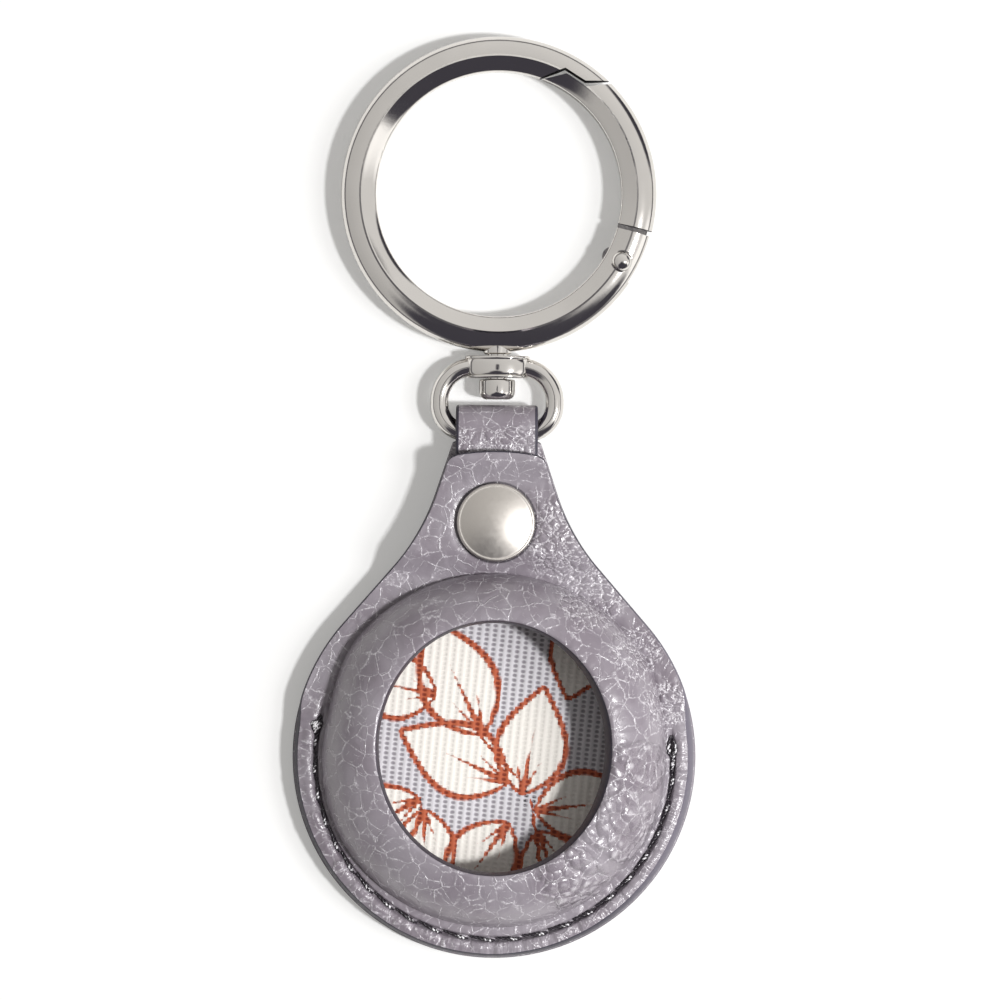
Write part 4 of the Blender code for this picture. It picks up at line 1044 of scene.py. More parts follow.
def ring_section():
    """Closed section of the key ring: inner wall, bevel, a soft ridge and a crowned outer side."""
    half = RING_DEPTH / 2
    ridge = RING_INNER + 1.5 * MM
    step_wide, step_deep = 0.18 * MM, 0.17 * MM
    crown = RING_OUTER - ridge - step_wide
    wall = half - 0.85 * MM
    upper = [(RING_INNER, wall * share / 3) for share in (0, 1, 2)]
    upper += [(RING_INNER, wall - 0.1 * MM), (RING_INNER + 0.04 * MM, wall - 0.02 * MM)]
    upper += [(RING_INNER + 0.12 * MM, wall + 0.07 * MM)]
    upper += [(RING_INNER + (1.5 * share) * MM, wall + 0.85 * MM * share) for share in (0.3, 0.6, 0.9)]
    upper += [(ridge - 0.05 * MM, half - 0.02 * MM), (ridge, half)]
    for step in range(19):
        turn = CROWN_START + (math.pi / 2 - CROWN_START) * step / 18
        drop = step_deep + (1.5 * MM - step_deep) * (1 - math.cos(turn) / math.cos(CROWN_START))
        share = (math.sin(turn) - math.sin(CROWN_START)) / (1 - math.sin(CROWN_START))
        upper.append((ridge + step_wide + crown * share, half - drop))
    lower = [(radius, -height) for radius, height in reversed(upper[1:])]
    return [(radius, MID_DEPTH + height) for radius, height in upper + lower]


def full_ring(name):
    """The whole key ring, before the gate is parted from it."""
    section = ring_section()
    stand = Matrix.Translation((0, RING_CENTRE, 0))
    return turned(name, section + section[:1], 720, stand, [polished_nickel(), dull_cut_and_shade()])


def gate_outline(nose_gap, split_gap):
    """Outline of the gate's side of the ring, drawn in from the cuts by a gap."""
    outside, inside = RING_OUTER + MM, RING_INNER - MM
    back = nose_gap / PIN_PLACE_RADIUS
    radii = [RING_INNER + RING_WIDTH * share for share in NOSE_SHARES]
    radii[1] -= nose_gap
    radii[2] -= nose_gap
    nose = [on_ring(radius, angle - back) for radius, angle in zip(radii, NOSE_ANGLES)]
    inner_way, outer_way = (nose[0] - nose[1]).normalized(), (nose[3] - nose[2]).normalized()
    split = SPLIT_ANGLE + split_gap / PIN_PLACE_RADIUS
    last = NOSE_ANGLES[3] - back
    points = [on_ring(outside, split + (last - split) * step / 30) for step in range(30)]
    points += [nose[3] + outer_way * MM] + list(reversed(nose)) + [nose[0] + inner_way * MM]
    points += [on_ring(inside, NOSE_ANGLES[0] + (split - NOSE_ANGLES[0]) * step / 30) for step in range(1, 31)]
    return points


def capsule(start, end, radius, steps):
    """Outline of a bar with round ends."""
    along = (end - start).normalized()
    heading = math.atan2(along.y, along.x)
    points = arc(start, radius, heading + math.pi / 2, heading + math.pi * 3 / 2, steps)
    return points + arc(end, radius, heading - math.pi / 2, heading + math.pi / 2, steps)


def tongue_outline(radius):
    """Outline of the gate's tongue, or of the fork round it, from the pin into the gate."""
    return capsule(PIN, on_ring(PIN_PLACE_RADIUS, SPLIT_ANGLE + 0.14), radius, 24)


def pin_cut():
    """Cutter for the pin's hole and the seat of its head."""
    seat = PIN_TOP - 0.8 * MM - 0.1 * MM
    profile = [(0, -MM), (PIN_BORE, -MM), (PIN_BORE, seat), (1.1 * MM, seat), (1.1 * MM, 6 * MM), (0, 6 * MM)]
    return turned("pin_hole", profile, 48, PIN_STAND)


def darken_cuts(ring):
    """Give the faces of the cuts across the ring their dull metal, dark as painted shade in the gaps."""
    for face in ring.data.polygons:
        reach = math.hypot(face.center.x, face.center.y - RING_CENTRE)
        inside = RING_INNER + 0.03 * MM < reach < RING_OUTER - 0.03 * MM
        if inside and abs(face.normal.z) < 0.05:
            face.material_index = 1


class KEYCHAIN_OT_key_ring(bpy.types.Operator):
    """Key ring: cut away on the gate's side, forked for the gate and joined to the swivel's boss"""

    bl_idname = "keychain.key_ring"
    bl_label = "Key Ring"

    def execute(self, context):
        ring = full_ring("key_ring")
        bottom, top = low("ring_body", Z) - MM, high("ring_body", Z) + MM
        combine(ring, prism("gate_space", gate_outline(0, 0), bottom, top), "DIFFERENCE")
        fork = prism("fork", tongue_outline(2.2 * MM), MID_DEPTH - MM, MID_DEPTH + MM)
        combine(ring, fork, "DIFFERENCE")
        combine(ring, pin_cut(), "DIFFERENCE")
        boss_low = LOOP_HIGH + 0.15 * MM
        tall = RING_CENTRE - RING_OUTER + MM - boss_low
        boss = [(0, 0), (1.2 * MM, 0), (1.4 * MM, 0.15 * MM), (1.4 * MM, tall), (0, tall)]
        combine(ring, turned("boss", boss, 64, along_y(0, boss_low, MID_DEPTH)), "UNION")
        darken_cuts(ring)
        finished(ring, "ring", [polished_nickel()], ("ring_body",), 32.0)
        return {"FINISHED"}


class KEYCHAIN_OT_gate(bpy.types.Operator):
    """Sprung gate with its stepped nose and the tongue that turns on the pin"""

    bl_idname = "keychain.gate"
    bl_label = "Gate"

    def execute(self, context):
        gate = full_ring("ring_gate")
        bottom, top = low("gate", Z) - MM, high("gate", Z) + MM
        combine(gate, prism("gate_length", gate_outline(NOSE_GAP, SPLIT_GAP), bottom, top), "INTERSECT")
        half = 0.8 * MM
        tongue = prism("tongue", tongue_outline(1.5 * MM), MID_DEPTH - half, MID_DEPTH + half)
        combine(gate, tongue, "UNION")
        inward = (Vector((0, RING_CENTRE)) - PIN).normalized()
        lug = capsule(PIN + inward * 1.2 * MM, PIN, 0.9 * MM, 16)
        combine(gate, prism("lug", lug, MID_DEPTH - half * 0.9, MID_DEPTH + half * 0.9), "UNION")
        hole = turned("pin_hole", disc_profile(PIN_BORE, -MM, 6 * MM), 48, PIN_STAND)
        combine(gate, hole, "DIFFERENCE")
        darken_cuts(gate)
        finished(gate, "gate", [polished_nickel()], ("gate",), 32.0)
        return {"FINISHED"}


class KEYCHAIN_OT_hinge_pin(bpy.types.Operator):
    """Hinge pin with its domed head"""

    bl_idname = "keychain.hinge_pin"
    bl_label = "Hinge Pin"

    def execute(self, context):
        bottom, radius = low("hinge_pin", Z), PIN_HEAD_RADIUS
        rise = 0.8 * MM
        profile = [(0, bottom), (0.45 * MM, bottom), (0.55 * MM, bottom + 0.1 * MM)]
        profile += [(0.55 * MM, PIN_TOP - rise)]
        for step in range(17):
            turn = math.pi / 2 * step / 16
            across = radius * math.cos(turn) if step < 16 else 0
            profile.append((across, PIN_TOP - rise + rise * math.sin(turn)))
        piece = turned("pin_head", profile, 64, PIN_STAND)
        finished(piece, "ring", [polished_nickel()], ("hinge_pin",), 40.0)
        return {"FINISHED"}


class KEYCHAIN_OT_gate_spring(bpy.types.Operator):
    """Steel of the gate's spring and plunger, which stay as the frame has them"""

    bl_idname = "keychain.gate_spring"
    bl_label = "Gate Spring"

    def execute(self, context):
        for name in ("gate_plunger", "gate_spring"):
            for slot in frame["nodes"][name].material_slots:
                slot.material = spring_steel()
        return {"FINISHED"}


# Materials


# Settings of a MapRange node with a soft rise, and of a Mix node for colours
SMOOTH = {"interpolation_type": "SMOOTHSTEP"}
MIX = {"data_type": "RGBA"}


def add(tree, kind, sockets=(), output=0, **settings):
    """Add a node with its settings, feed its sockets values or other nodes' outputs, and return one output."""
    node = tree.nodes.new("ShaderNode" + kind)
    for name, value in settings.items():
        setattr(node, name, value)
    for name, value in sockets.items() if isinstance(sockets, dict) else enumerate(sockets):
        if isinstance(value, bpy.types.NodeSocket):
            tree.links.new(value, node.inputs[name])
        else:
            node.inputs[name].default_value = value
    return node.outputs[output] if node.outputs else None


def rgba(values, share=1.0):
    """Colour for a socket, made lighter or darker by a share."""
    return (*(min(value * share, 1.0) for value in values), 1.0)


def new_material(name):
    """Empty material, with add tied to its tree, and Object coordinates."""
    material = bpy.data.materials.new(name)
    material.use_nodes = True
    material.node_tree.nodes.clear()
    put = partial(add, material.node_tree)
    return material, put, put("TexCoord", output="Object")


def shifted(put, coords, amount, size):
    """Coordinates pushed about by noise, in metres."""
    pushed = put("TexNoise", {"Vector": coords, "Scale": 1 / size, "Detail": 2.0}, "Color")
    centred = put("VectorMath", (pushed, (0.5, 0.5, 0.5)), operation="SUBTRACT")
    return put("VectorMath", (centred, (amount, amount, amount), coords), operation="MULTIPLY_ADD")


# Where the stretched grain stands up in wrinkles, and where it swells in cobbles: place and reach
NECK_WRINKLES = (
    ((7.0 * MM, 22.0 * MM, 0), 6.6 * MM),
    ((9.5 * MM, 16.5 * MM, 0), 5.5 * MM),
    ((14.0 * MM, 10.5 * MM, 0), 4.0 * MM),
    ((17.2 * MM, 5.5 * MM, 0), 3.4 * MM),
)
STRAP_WRINKLES = tuple(((place * MM, 30.9 * MM, 0), 2.9 * MM) for place in (-3.2, -0.6, 2.0, 3.8))
COBBLES = (
    ((14.4 * MM, -0.8 * MM, 0), 4.2 * MM),
    ((12.8 * MM, -6.6 * MM, 0), 5.4 * MM),
    ((8.0 * MM, -11.6 * MM, 0), 5.0 * MM),
)
# Radius of the dark ring round the cap: a pressing mark, and painted shade under the cap's rim
SNAP_RING = CAP_RADIUS + 0.04 * MM


def patch_mask(put, flat, blotch, spots):
    """1 inside a few round patches, with a ragged fade round them."""
    near = 0.0
    for place, reach in spots:
        apart = put("VectorMath", (flat, place), "Value", operation="DISTANCE")
        near = put("Math", (near, put("MapRange", (apart, reach, reach * 0.3), **SMOOTH)), operation="MAXIMUM")
    return put("MapRange", (put("Math", (blotch, 1.2, near), operation="MULTIPLY_ADD"), 0.9, 1.3), **SMOOTH)


def drawn_strip(put, coords, flat):
    """Rays of the puckers outside the seam, and how much of them shows."""
    parts = put("SeparateXYZ", (coords,)).node.outputs
    down = put("Math", (parts[1], -1.0), operation="MULTIPLY")
    around = put("Math", (parts[0], down), operation="ARCTAN2")
    around = put("Math", (around, SEAM_RADIUS), operation="MULTIPLY")
    reach = put("VectorMath", (flat, tuple(SEAM_CENTRE) + (0,)), "Value", operation="DISTANCE")
    rays = put("CombineXYZ", (around, put("Math", (reach, 0.22), operation="MULTIPLY")))
    rays = put("TexNoise", {"Vector": rays, "Scale": 1 / (0.36 * MM), "Detail": 2.0})
    outside = put("MapRange", (reach, SEAM_RADIUS + 0.2 * MM, SEAM_RADIUS + 0.5 * MM), **SMOOTH)
    sewn = put("MapRange", (down, -4.0 * MM, -1.0 * MM), **SMOOTH)
    return rays, put("Math", (outside, sewn), operation="MULTIPLY")


def pebbled_leather(name, turn, wrinkles):
    """Drum dyed cowhide with an embossed pebble: flat plates between lighter lines, and a low urethane gloss.

    Where the hide is stretched or drawn by the seam, the grain stands up in wrinkles that catch the light.
    Painted highlights lighten the lines of the grain; painted glints light the wrinkles, puckers and cobbles.
    """
    settings = bpy.context.scene.keychain_leather
    material, put, coords = new_material(name)
    turned_coords = put("Mapping", {"Vector": coords, "Rotation": (0, 0, turn)})
    ragged = shifted(put, shifted(put, turned_coords, 1.1 * MM, 2.4 * MM), 0.1 * MM, 0.35 * MM)
    flat = put("VectorMath", (coords, (1, 1, 0)), operation="MULTIPLY")
    blotch = put("TexNoise", {"Vector": coords, "Scale": 1 / (2.6 * MM), "Detail": 3.0})
    wrinkled = patch_mask(put, flat, blotch, wrinkles)
    cobbled = patch_mask(put, flat, blotch, COBBLES)
    rays, strip = drawn_strip(put, coords, flat)

    # Lines of the grain: broad plates, and finer ones between them, worn away here and there
    plates = put("TexVoronoi", {"Vector": ragged, "Scale": 1 / settings.pebble}, feature="DISTANCE_TO_EDGE")
    grains = put("TexVoronoi", {"Vector": ragged, "Scale": 1.8 / settings.pebble}, feature="DISTANCE_TO_EDGE")
    wear = put("TexNoise", {"Vector": coords, "Scale": 1 / (0.9 * MM), "Detail": 4.0, "Roughness": 0.6})
    worn = put("MapRange", (wear, 0.34, 0.62), **SMOOTH)
    fine_worn = put("MapRange", (wear, 0.5, 0.64), **SMOOTH)
    broad = put("Math", (put("MapRange", (plates, 0.06, 0.0), **SMOOTH), worn), operation="MULTIPLY")
    fine = put("Math", (put("MapRange", (grains, 0.07, 0.0), **SMOOTH), fine_worn), operation="MULTIPLY")
    line = put("Math", (broad, put("Math", (fine, 0.45), operation="MULTIPLY")), operation="MAXIMUM")
    glint = put("TexNoise", {"Vector": coords, "Scale": 1 / (0.2 * MM), "Detail": 2.0})
    bright = put("MapRange", (glint, 0.48, 0.6), **SMOOTH)
    folds = put("Math", (put("MapRange", (grains, 0.16, 0.03), **SMOOTH), wrinkled), operation="MULTIPLY")
    puckers = put("Math", (put("MapRange", (rays, 0.54, 0.62), **SMOOTH), strip), operation="MULTIPLY")
    puckers = put("Math", (puckers, put("MapRange", (wear, 0.46, 0.56), **SMOOTH)), operation="MULTIPLY")
    cobbles = put("TexVoronoi", {"Vector": ragged, "Scale": 1 / (1.25 * MM)}, feature="F1")
    domes = put("Math", (cobbles, cobbles), operation="MULTIPLY")
    domes = put("Math", (domes, -1.5, 1.0), operation="MULTIPLY_ADD")
    tops = put("Math", (put("MapRange", (cobbles, 0.34, 0.1), **SMOOTH), cobbled), operation="MULTIPLY")

    # Colour
    cloud = put("TexNoise", {"Vector": coords, "Scale": 1 / (6 * MM), "Detail": 4.0})
    clouded = put("MapRange", (cloud, 0.35, 0.65), **SMOOTH)
    pores = put("TexNoise", {"Vector": coords, "Scale": 1 / (0.12 * MM), "Detail": 2.0, "Roughness": 0.6})
    colour = put("Mix", {0: clouded, 6: rgba(settings.shade), 7: rgba(settings.face)}, 2, **MIX)
    # Painted highlight: the lines of the grain lightened half way to the crease colour
    painted_highlight = put("Math", (line, 0.5), operation="MULTIPLY")
    colour = put("Mix", {0: painted_highlight, 6: colour, 7: rgba(settings.crease_highlight)}, 2, **MIX)
    # Painted highlights: near white glints on the lines, the folds of the wrinkles, the puckers and the tops of
    # the cobbles
    painted_glints = put("Math", (put("Math", (line, 0.9), operation="MULTIPLY"), folds), operation="MAXIMUM")
    painted_glints = put("Math", (painted_glints, puckers), operation="MAXIMUM")
    painted_glints = put("Math", (put("Math", (painted_glints, bright), operation="MULTIPLY"), 0.75), operation="MULTIPLY")
    painted_glints = put("Math", (painted_glints, put("Math", (tops, 0.4), operation="MULTIPLY")), operation="MAXIMUM")
    colour = put("Mix", {0: painted_glints, 6: colour, 7: rgba(linear("#f3eff4"))}, 2, **MIX)
    speck = put("Math", (pores, 0.12), operation="MULTIPLY")
    colour = put("Mix", {0: speck, 6: colour, 7: (0.09, 0.08, 0.09, 1)}, 2, **MIX)
    # Dark ring round the snap's cap: a pressing mark, and painted shade under the cap's rim
    apart = put("VectorMath", (flat, (0, SNAP_PLACE, 0)), "Value", operation="DISTANCE")
    off_rim = put("Math", (put("Math", (apart, SNAP_RING), operation="SUBTRACT"),), operation="ABSOLUTE")
    pressed = put("MapRange", {0: off_rim, 1: 0.24 * MM, 2: 0.08 * MM, 4: 0.8}, **SMOOTH)
    colour = put("Mix", {0: pressed, 6: colour, 7: rgba(linear("#2d292f"))}, 2, **MIX)

    # Relief, in millimetres
    beads = put("Math", (line, glint), operation="MULTIPLY")
    wrinkle = put("TexNoise", {"Vector": ragged, "Scale": 1 / (0.55 * MM), "Detail": 2.0, "Roughness": 0.5})
    swell = put("MapRange", (plates, 0.0, 0.45), **SMOOTH)
    bumps = put("Math", (put("MapRange", (grains, 0.0, 0.35), **SMOOTH), wrinkled), operation="MULTIPLY")
    pinch = put("Math", (wrinkle, wrinkled), operation="MULTIPLY")
    domes = put("Math", (domes, cobbled), operation="MULTIPLY")
    drawn = put("Math", (rays, strip), operation="MULTIPLY")
    parts = ((swell, 0.03), (beads, 0.08), (bumps, 0.08), (pinch, 0.06))
    parts += ((domes, 0.3), (drawn, 0.12), (pores, 0.006))
    height = 0.0
    for part, tall in parts:
        height = put("Math", (part, tall, height), operation="MULTIPLY_ADD")
    normal = put("Bump", {"Height": height, "Distance": MM})
    gloss = put("MapRange", {0: pores, 3: 0.25, 4: 0.42})
    raised = put("Math", (put("Math", (wrinkled, cobbled), operation="MAXIMUM"), line), operation="MAXIMUM")
    gloss = put("Math", (raised, -0.06, gloss), operation="MULTIPLY_ADD")
    shader = {"Base Color": colour, "Roughness": gloss, "Normal": normal, "Specular IOR Level": 0.6}
    shader.update({"Coat Weight": 0.3, "Coat Roughness": 0.18, "Coat Normal": normal})
    put("OutputMaterial", (put("BsdfPrincipled", shader),))
    return material


def edge_paint():
    """Acrylic edge paint over sanded leather: dark, smooth and half dull, with slow waves of the brush, and
    painted light towards +X.
    """
    material = bpy.data.materials.get("painted_leather_edge")
    if material:
        return material
    settings = bpy.context.scene.keychain_leather
    material, put, coords = new_material("painted_leather_edge")
    waves = put("TexNoise", {"Vector": coords, "Scale": 1 / (0.9 * MM), "Detail": 3.0})
    dust = put("TexNoise", {"Vector": coords, "Scale": 1 / (0.15 * MM), "Detail": 2.0})
    colour = put("Mix", {0: waves, 6: rgba(settings.edge, 0.8), 7: rgba(settings.edge, 1.3)}, 2, **MIX)
    # Painted light: the edge lighter towards +X, the side that the lamps light
    side = put("MapRange", (put("SeparateXYZ", (coords,)), 9 * MM, 19 * MM, 0.0, 0.5), **SMOOTH)
    colour = put("Mix", {0: side, 6: colour, 7: rgba(linear("#8b8592"))}, 2, **MIX)
    gloss = put("MapRange", {0: dust, 3: 0.36, 4: 0.52})
    normal = put("Bump", {"Height": waves, "Distance": 0.04 * MM, "Strength": 0.7})
    shader = {"Base Color": colour, "Roughness": gloss, "Normal": normal, "Specular IOR Level": 0.3}
    put("OutputMaterial", (put("BsdfPrincipled", shader),))
    return material


def leather_flesh():
    """Flesh side of the leather: short suede nap, dull and a little mottled."""
    settings = bpy.context.scene.keychain_leather
    material, put, coords = new_material("leather_flesh_side")
    nap = put("TexNoise", {"Vector": coords, "Scale": 1 / (0.2 * MM), "Detail": 6.0, "Roughness": 0.7})
    mottle = put("TexNoise", {"Vector": coords, "Scale": 1 / (3 * MM), "Detail": 3.0})
    dark = rgba(settings.flesh, 0.7)
    colour = put("Mix", {0: mottle, 6: dark, 7: rgba(settings.flesh)}, 2, **MIX)
    colour = put("Mix", {0: nap, 6: colour, 7: dark}, 2, **MIX)
    normal = put("Bump", {"Height": nap, "Distance": 0.05 * MM, "Strength": 0.8})
    shader = {"Base Color": colour, "Roughness": 0.9, "Normal": normal, "Sheen Weight": 0.25}
    put("OutputMaterial", (put("BsdfPrincipled", shader),))
    return material


# Leaves of the print: place of the stalk, heading, length and half width, in millimetres and degrees
LEAVES = (
    (3.0, -3.5, 84.0, 11.0, 3.5),
    (4.5, -5.0, 12.0, 11.0, 3.4),
    (1.5, -2.5, 160.0, 12.0, 3.6),
    (5.0, -7.0, -64.0, 10.0, 3.2),
    (-1.5, 2.0, 121.0, 13.0, 3.8),
    (2.0, -6.5, -120.0, 11.0, 3.4),
    (-7.0, -5.0, -146.0, 10.5, 3.4),
    (-6.5, -6.0, -84.0, 9.5, 3.0),
    (8.2, 14.6, -101.0, 8.4, 3.1),
    (9.0, 13.5, -36.0, 9.5, 3.0),
    (-6.5, 5.5, 174.0, 9.5, 3.2),
)
STEMS = (
    (6.5, -14.0, 104.0, 12.5, 0.28),
    (3.2, -2.6, 138.0, 9.0, 0.24),
    (-12.5, -9.5, 42.0, 6.5, 0.24),
    (13.0, 17.0, -142.0, 7.0, 0.24),
)
BERRIES = ((3.6, -3.4), (4.5, -3.9), (3.2, -4.4), (-7.3, -5.2), (-6.9, -6.1), (7.9, 13.2))


def leaf_distance(put, coords, leaf):
    """How far inside one leaf a point lies, and how near its veins, both in half widths."""
    x, y, heading, long, half = leaf
    laid = (coords, (x * MM, y * MM, 0), (0, 0, math.radians(heading)), (long * MM, half * MM, 1))
    parts = put("SeparateXYZ", (put("Mapping", laid, vector_type="TEXTURE"),)).node.outputs
    along = put("Math", (parts[0], 0.0), operation="ADD", use_clamp=True)
    off_end = put("Math", (put("Math", (parts[0], along), operation="SUBTRACT"),), operation="ABSOLUTE")
    eased = put("Math", (put("Math", (along, 0.8), operation="POWER"), math.pi), operation="MULTIPLY")
    across = put("Math", (parts[1],), operation="ABSOLUTE")
    inside = put("Math", (off_end, -8.0, put("Math", (eased,), operation="SINE")), operation="MULTIPLY_ADD")
    inside = put("Math", (inside, across), operation="SUBTRACT")
    tapered = put("Math", (along, -0.2, 0.13), operation="MULTIPLY_ADD")
    rib = put("Math", (tapered, across), operation="SUBTRACT")
    spread = put("Math", (along, -1.1, across), operation="MULTIPLY_ADD")
    tapered = put("Math", (along, -0.3, 0.11), operation="MULTIPLY_ADD")
    side = put("Math", (tapered, put("Math", (spread,), operation="ABSOLUTE")), operation="SUBTRACT")
    vein = put("Math", (put("Math", (rib, side), operation="MAXIMUM"), inside), operation="MINIMUM")
    return inside, vein


def printed_shapes(put, coords):
    """Masks of the print: its cream leaves, its rust outlines, veins and stems, and its dark berries."""
    inside, vein, outline, berry = -1.0, -1.0, 1.0, 1.0
    for leaf in LEAVES:
        leaf_inside, leaf_vein = leaf_distance(put, coords, leaf)
        inside = put("Math", (inside, leaf_inside), operation="MAXIMUM")
        vein = put("Math", (vein, leaf_vein), operation="MAXIMUM")
        near = put("Math", (leaf_inside,), operation="ABSOLUTE")
        outline = put("Math", (outline, near), operation="MINIMUM")
    for stem in STEMS:
        line = put("Math", (leaf_distance(put, coords, stem)[0], 0.2), operation="SUBTRACT")
        vein = put("Math", (vein, line), operation="MAXIMUM")
    for x, y in BERRIES:
        apart = put("VectorMath", (coords, (x * MM, y * MM, 0)), "Value", operation="DISTANCE")
        berry = put("Math", (berry, apart), operation="MINIMUM")
    cream = put("MapRange", (inside, 0.0, 0.05), **SMOOTH)
    drawn = put("MapRange", (outline, 0.125, 0.065), **SMOOTH)
    rust = put("Math", (drawn, put("MapRange", (vein, 0.0, 0.04), **SMOOTH)), operation="MAXIMUM")
    return cream, rust, put("MapRange", (berry, 0.5 * MM, 0.4 * MM), **SMOOTH)


def ribbed_lining():
    """Ribbed polyester with a printed warp: pale ribs, and between them the ink in rows of soft dots."""
    settings = bpy.context.scene.keychain_lining
    material, put, coords = new_material("ribbed_polyester_lining")
    flat = put("VectorMath", (coords, (1, 1, 0)), operation="MULTIPLY")
    woven = put("Mapping", {"Vector": flat, "Rotation": (0, 0, math.atan(RIB_LEAN))})
    uneven = shifted(put, woven, 0.1 * MM, 0.8 * MM)
    parts = put("SeparateXYZ", (uneven,)).node.outputs
    waves = []
    for place, pitch in ((parts[0], settings.rib), (parts[1], settings.dot)):
        wave = put("Math", (put("Math", (place, math.pi / pitch), operation="MULTIPLY"),), operation="SINE")
        waves.append(put("Math", (wave,), operation="ABSOLUTE"))
    pick = put("Math", (waves[1], 0.55), operation="POWER")
    ink_share = put("Math", (waves[0], pick), operation="MULTIPLY")
    dots = put("MapRange", (ink_share, 0.36, 0.96), **SMOOTH)

    # The print follows the weave: half of each step is the weave's own cell
    ragged = shifted(put, woven, 0.16 * MM, 0.35 * MM)
    cells = put("VectorMath", (ragged, (settings.rib / 2, settings.dot / 2, MM)), operation="SNAP")
    dotted = put("Mix", {0: 0.4, 4: cells, 5: ragged}, 1, data_type="VECTOR")
    cream, rust, berry = printed_shapes(put, dotted)
    pale = put("Mix", {0: cream, 6: rgba(settings.ground), 7: rgba(settings.motif)}, 2, **MIX)
    thin_rust = put("Math", (rust, 0.95), operation="MULTIPLY")
    pale = put("Mix", {0: thin_rust, 6: pale, 7: rgba(linear("#bb4e12"))}, 2, **MIX)
    ink = put("Mix", {0: cream, 6: rgba(settings.ground_ink), 7: rgba(settings.motif, 0.92)}, 2, **MIX)
    ink = put("Mix", {0: rust, 6: ink, 7: rgba(settings.vein)}, 2, **MIX)
    ink = put("Mix", {0: berry, 6: ink, 7: rgba(linear("#1d1a20"))}, 2, **MIX)
    colour = put("Mix", {0: dots, 6: pale, 7: ink}, 2, **MIX)
    fibre = put("TexNoise", {"Vector": coords, "Scale": 1 / (0.1 * MM), "Detail": 3.0, "Roughness": 0.6})
    height = put("Math", (dots, -0.035), operation="MULTIPLY")
    height = put("Math", (fibre, 0.012, height), operation="MULTIPLY_ADD")
    normal = put("Bump", {"Height": height, "Distance": MM, "Strength": 0.9})
    shader = {"Base Color": colour, "Roughness": 0.7, "Normal": normal, "Sheen Weight": 0.15}
    put("OutputMaterial", (put("BsdfPrincipled", shader),))
    return material


def bonded_thread():
    """Bonded, twisted polyester thread: near black and waxed, with painted highlights on the crests of the
    plies.
    """
    settings = bpy.context.scene.keychain_thread
    material, put, coords = new_material("bonded_polyester_thread")
    strand = put("TexNoise", {"Vector": coords, "Scale": 1 / (0.07 * MM), "Detail": 4.0, "Roughness": 0.7})
    shown = put("MapRange", (strand, 0.4, 0.75), **SMOOTH)
    # Painted highlight: near white streaks on the highest crests of the stitches
    height = put("SeparateXYZ", (coords,), "Z")
    crest = put("MapRange", (height, BORDER_TOP + 0.09 * MM, BORDER_TOP + 0.17 * MM), **SMOOTH)
    streak = put("TexNoise", {"Vector": coords, "Scale": 1 / (0.2 * MM), "Detail": 2.0})
    streak = put("MapRange", (streak, 0.44, 0.52), **SMOOTH)
    painted_highlight = put("Math", (crest, streak), operation="MULTIPLY")
    colour = put("Mix", {0: shown, 6: rgba(settings.face), 7: rgba(settings.face, 2.4)}, 2, **MIX)
    colour = put("Mix", {0: painted_highlight, 6: colour, 7: rgba(linear("#fbf9fc"))}, 2, **MIX)
    normal = put("Bump", {"Height": strand, "Distance": 0.015 * MM, "Strength": 0.8})
    shader = {"Base Color": colour, "Roughness": 0.4, "Normal": normal, "Coat Weight": 0.35}
    shader.update({"Coat Roughness": 0.15})
    put("OutputMaterial", (put("BsdfPrincipled", shader),))
    return material


def plated(name, tint, roughness, swirl, depth):
    """Plated or bare metal; swirl is the width of its polishing marks, depth their height."""
    material = bpy.data.materials.get(name)
    if material:
        return material
    material, put, coords = new_material(name)
    cloud = put("TexNoise", {"Vector": coords, "Scale": 1 / (4 * MM), "Detail": 3.0})
    colour = put("Mix", {0: cloud, 6: rgba(tint, 0.9), 7: rgba(tint)}, 2, **MIX)
    marks = put("TexNoise", {"Vector": coords, "Scale": 1 / swirl, "Detail": 4.0, "Roughness": 0.6})
    gloss = put("MapRange", {0: marks, 3: roughness * 0.75, 4: roughness * 1.3})
    normal = put("Bump", {"Height": marks, "Distance": depth, "Strength": 0.5})
    shader = {"Base Color": colour, "Roughness": gloss, "Normal": normal, "Metallic": 1.0}
    put("OutputMaterial", (put("BsdfPrincipled", shader),))
    return material


def polished_nickel():
    """Polished nickel plate: mirror bright, warm, with the slow waves of a buffed casting."""
    settings = bpy.context.scene.keychain_metal
    return plated("polished_nickel_plate", settings.nickel, settings.polish, 1.3 * MM, 0.012 * MM)


def dull_cut_and_shade():
    """Zinc alloy of the cuts across the ring, where the polish doesn't reach: dull, and dark as painted shade
    in the gaps.
    """
    return plated("dull_cut_metal_and_shade", linear("#3b3940"), 0.45, 0.3 * MM, 0.01 * MM)


def satin_nickel():
    """Satin nickel of the snap: fine blasted grain that spreads the light."""
    settings = bpy.context.scene.keychain_metal
    return plated("satin_nickel_plate", settings.satin, settings.haze, 0.5 * MM, 0.0006 * MM)


def spring_steel():
    """Drawn spring steel, oiled: grey, with fine marks of the die."""
    return plated("drawn_spring_steel", linear("#9b9a99"), 0.3, 0.1 * MM, 0.004 * MM)


# Stage


# How far the camera sees the floor's shadows lifted towards white
SHADOW_LIFT = 0.27


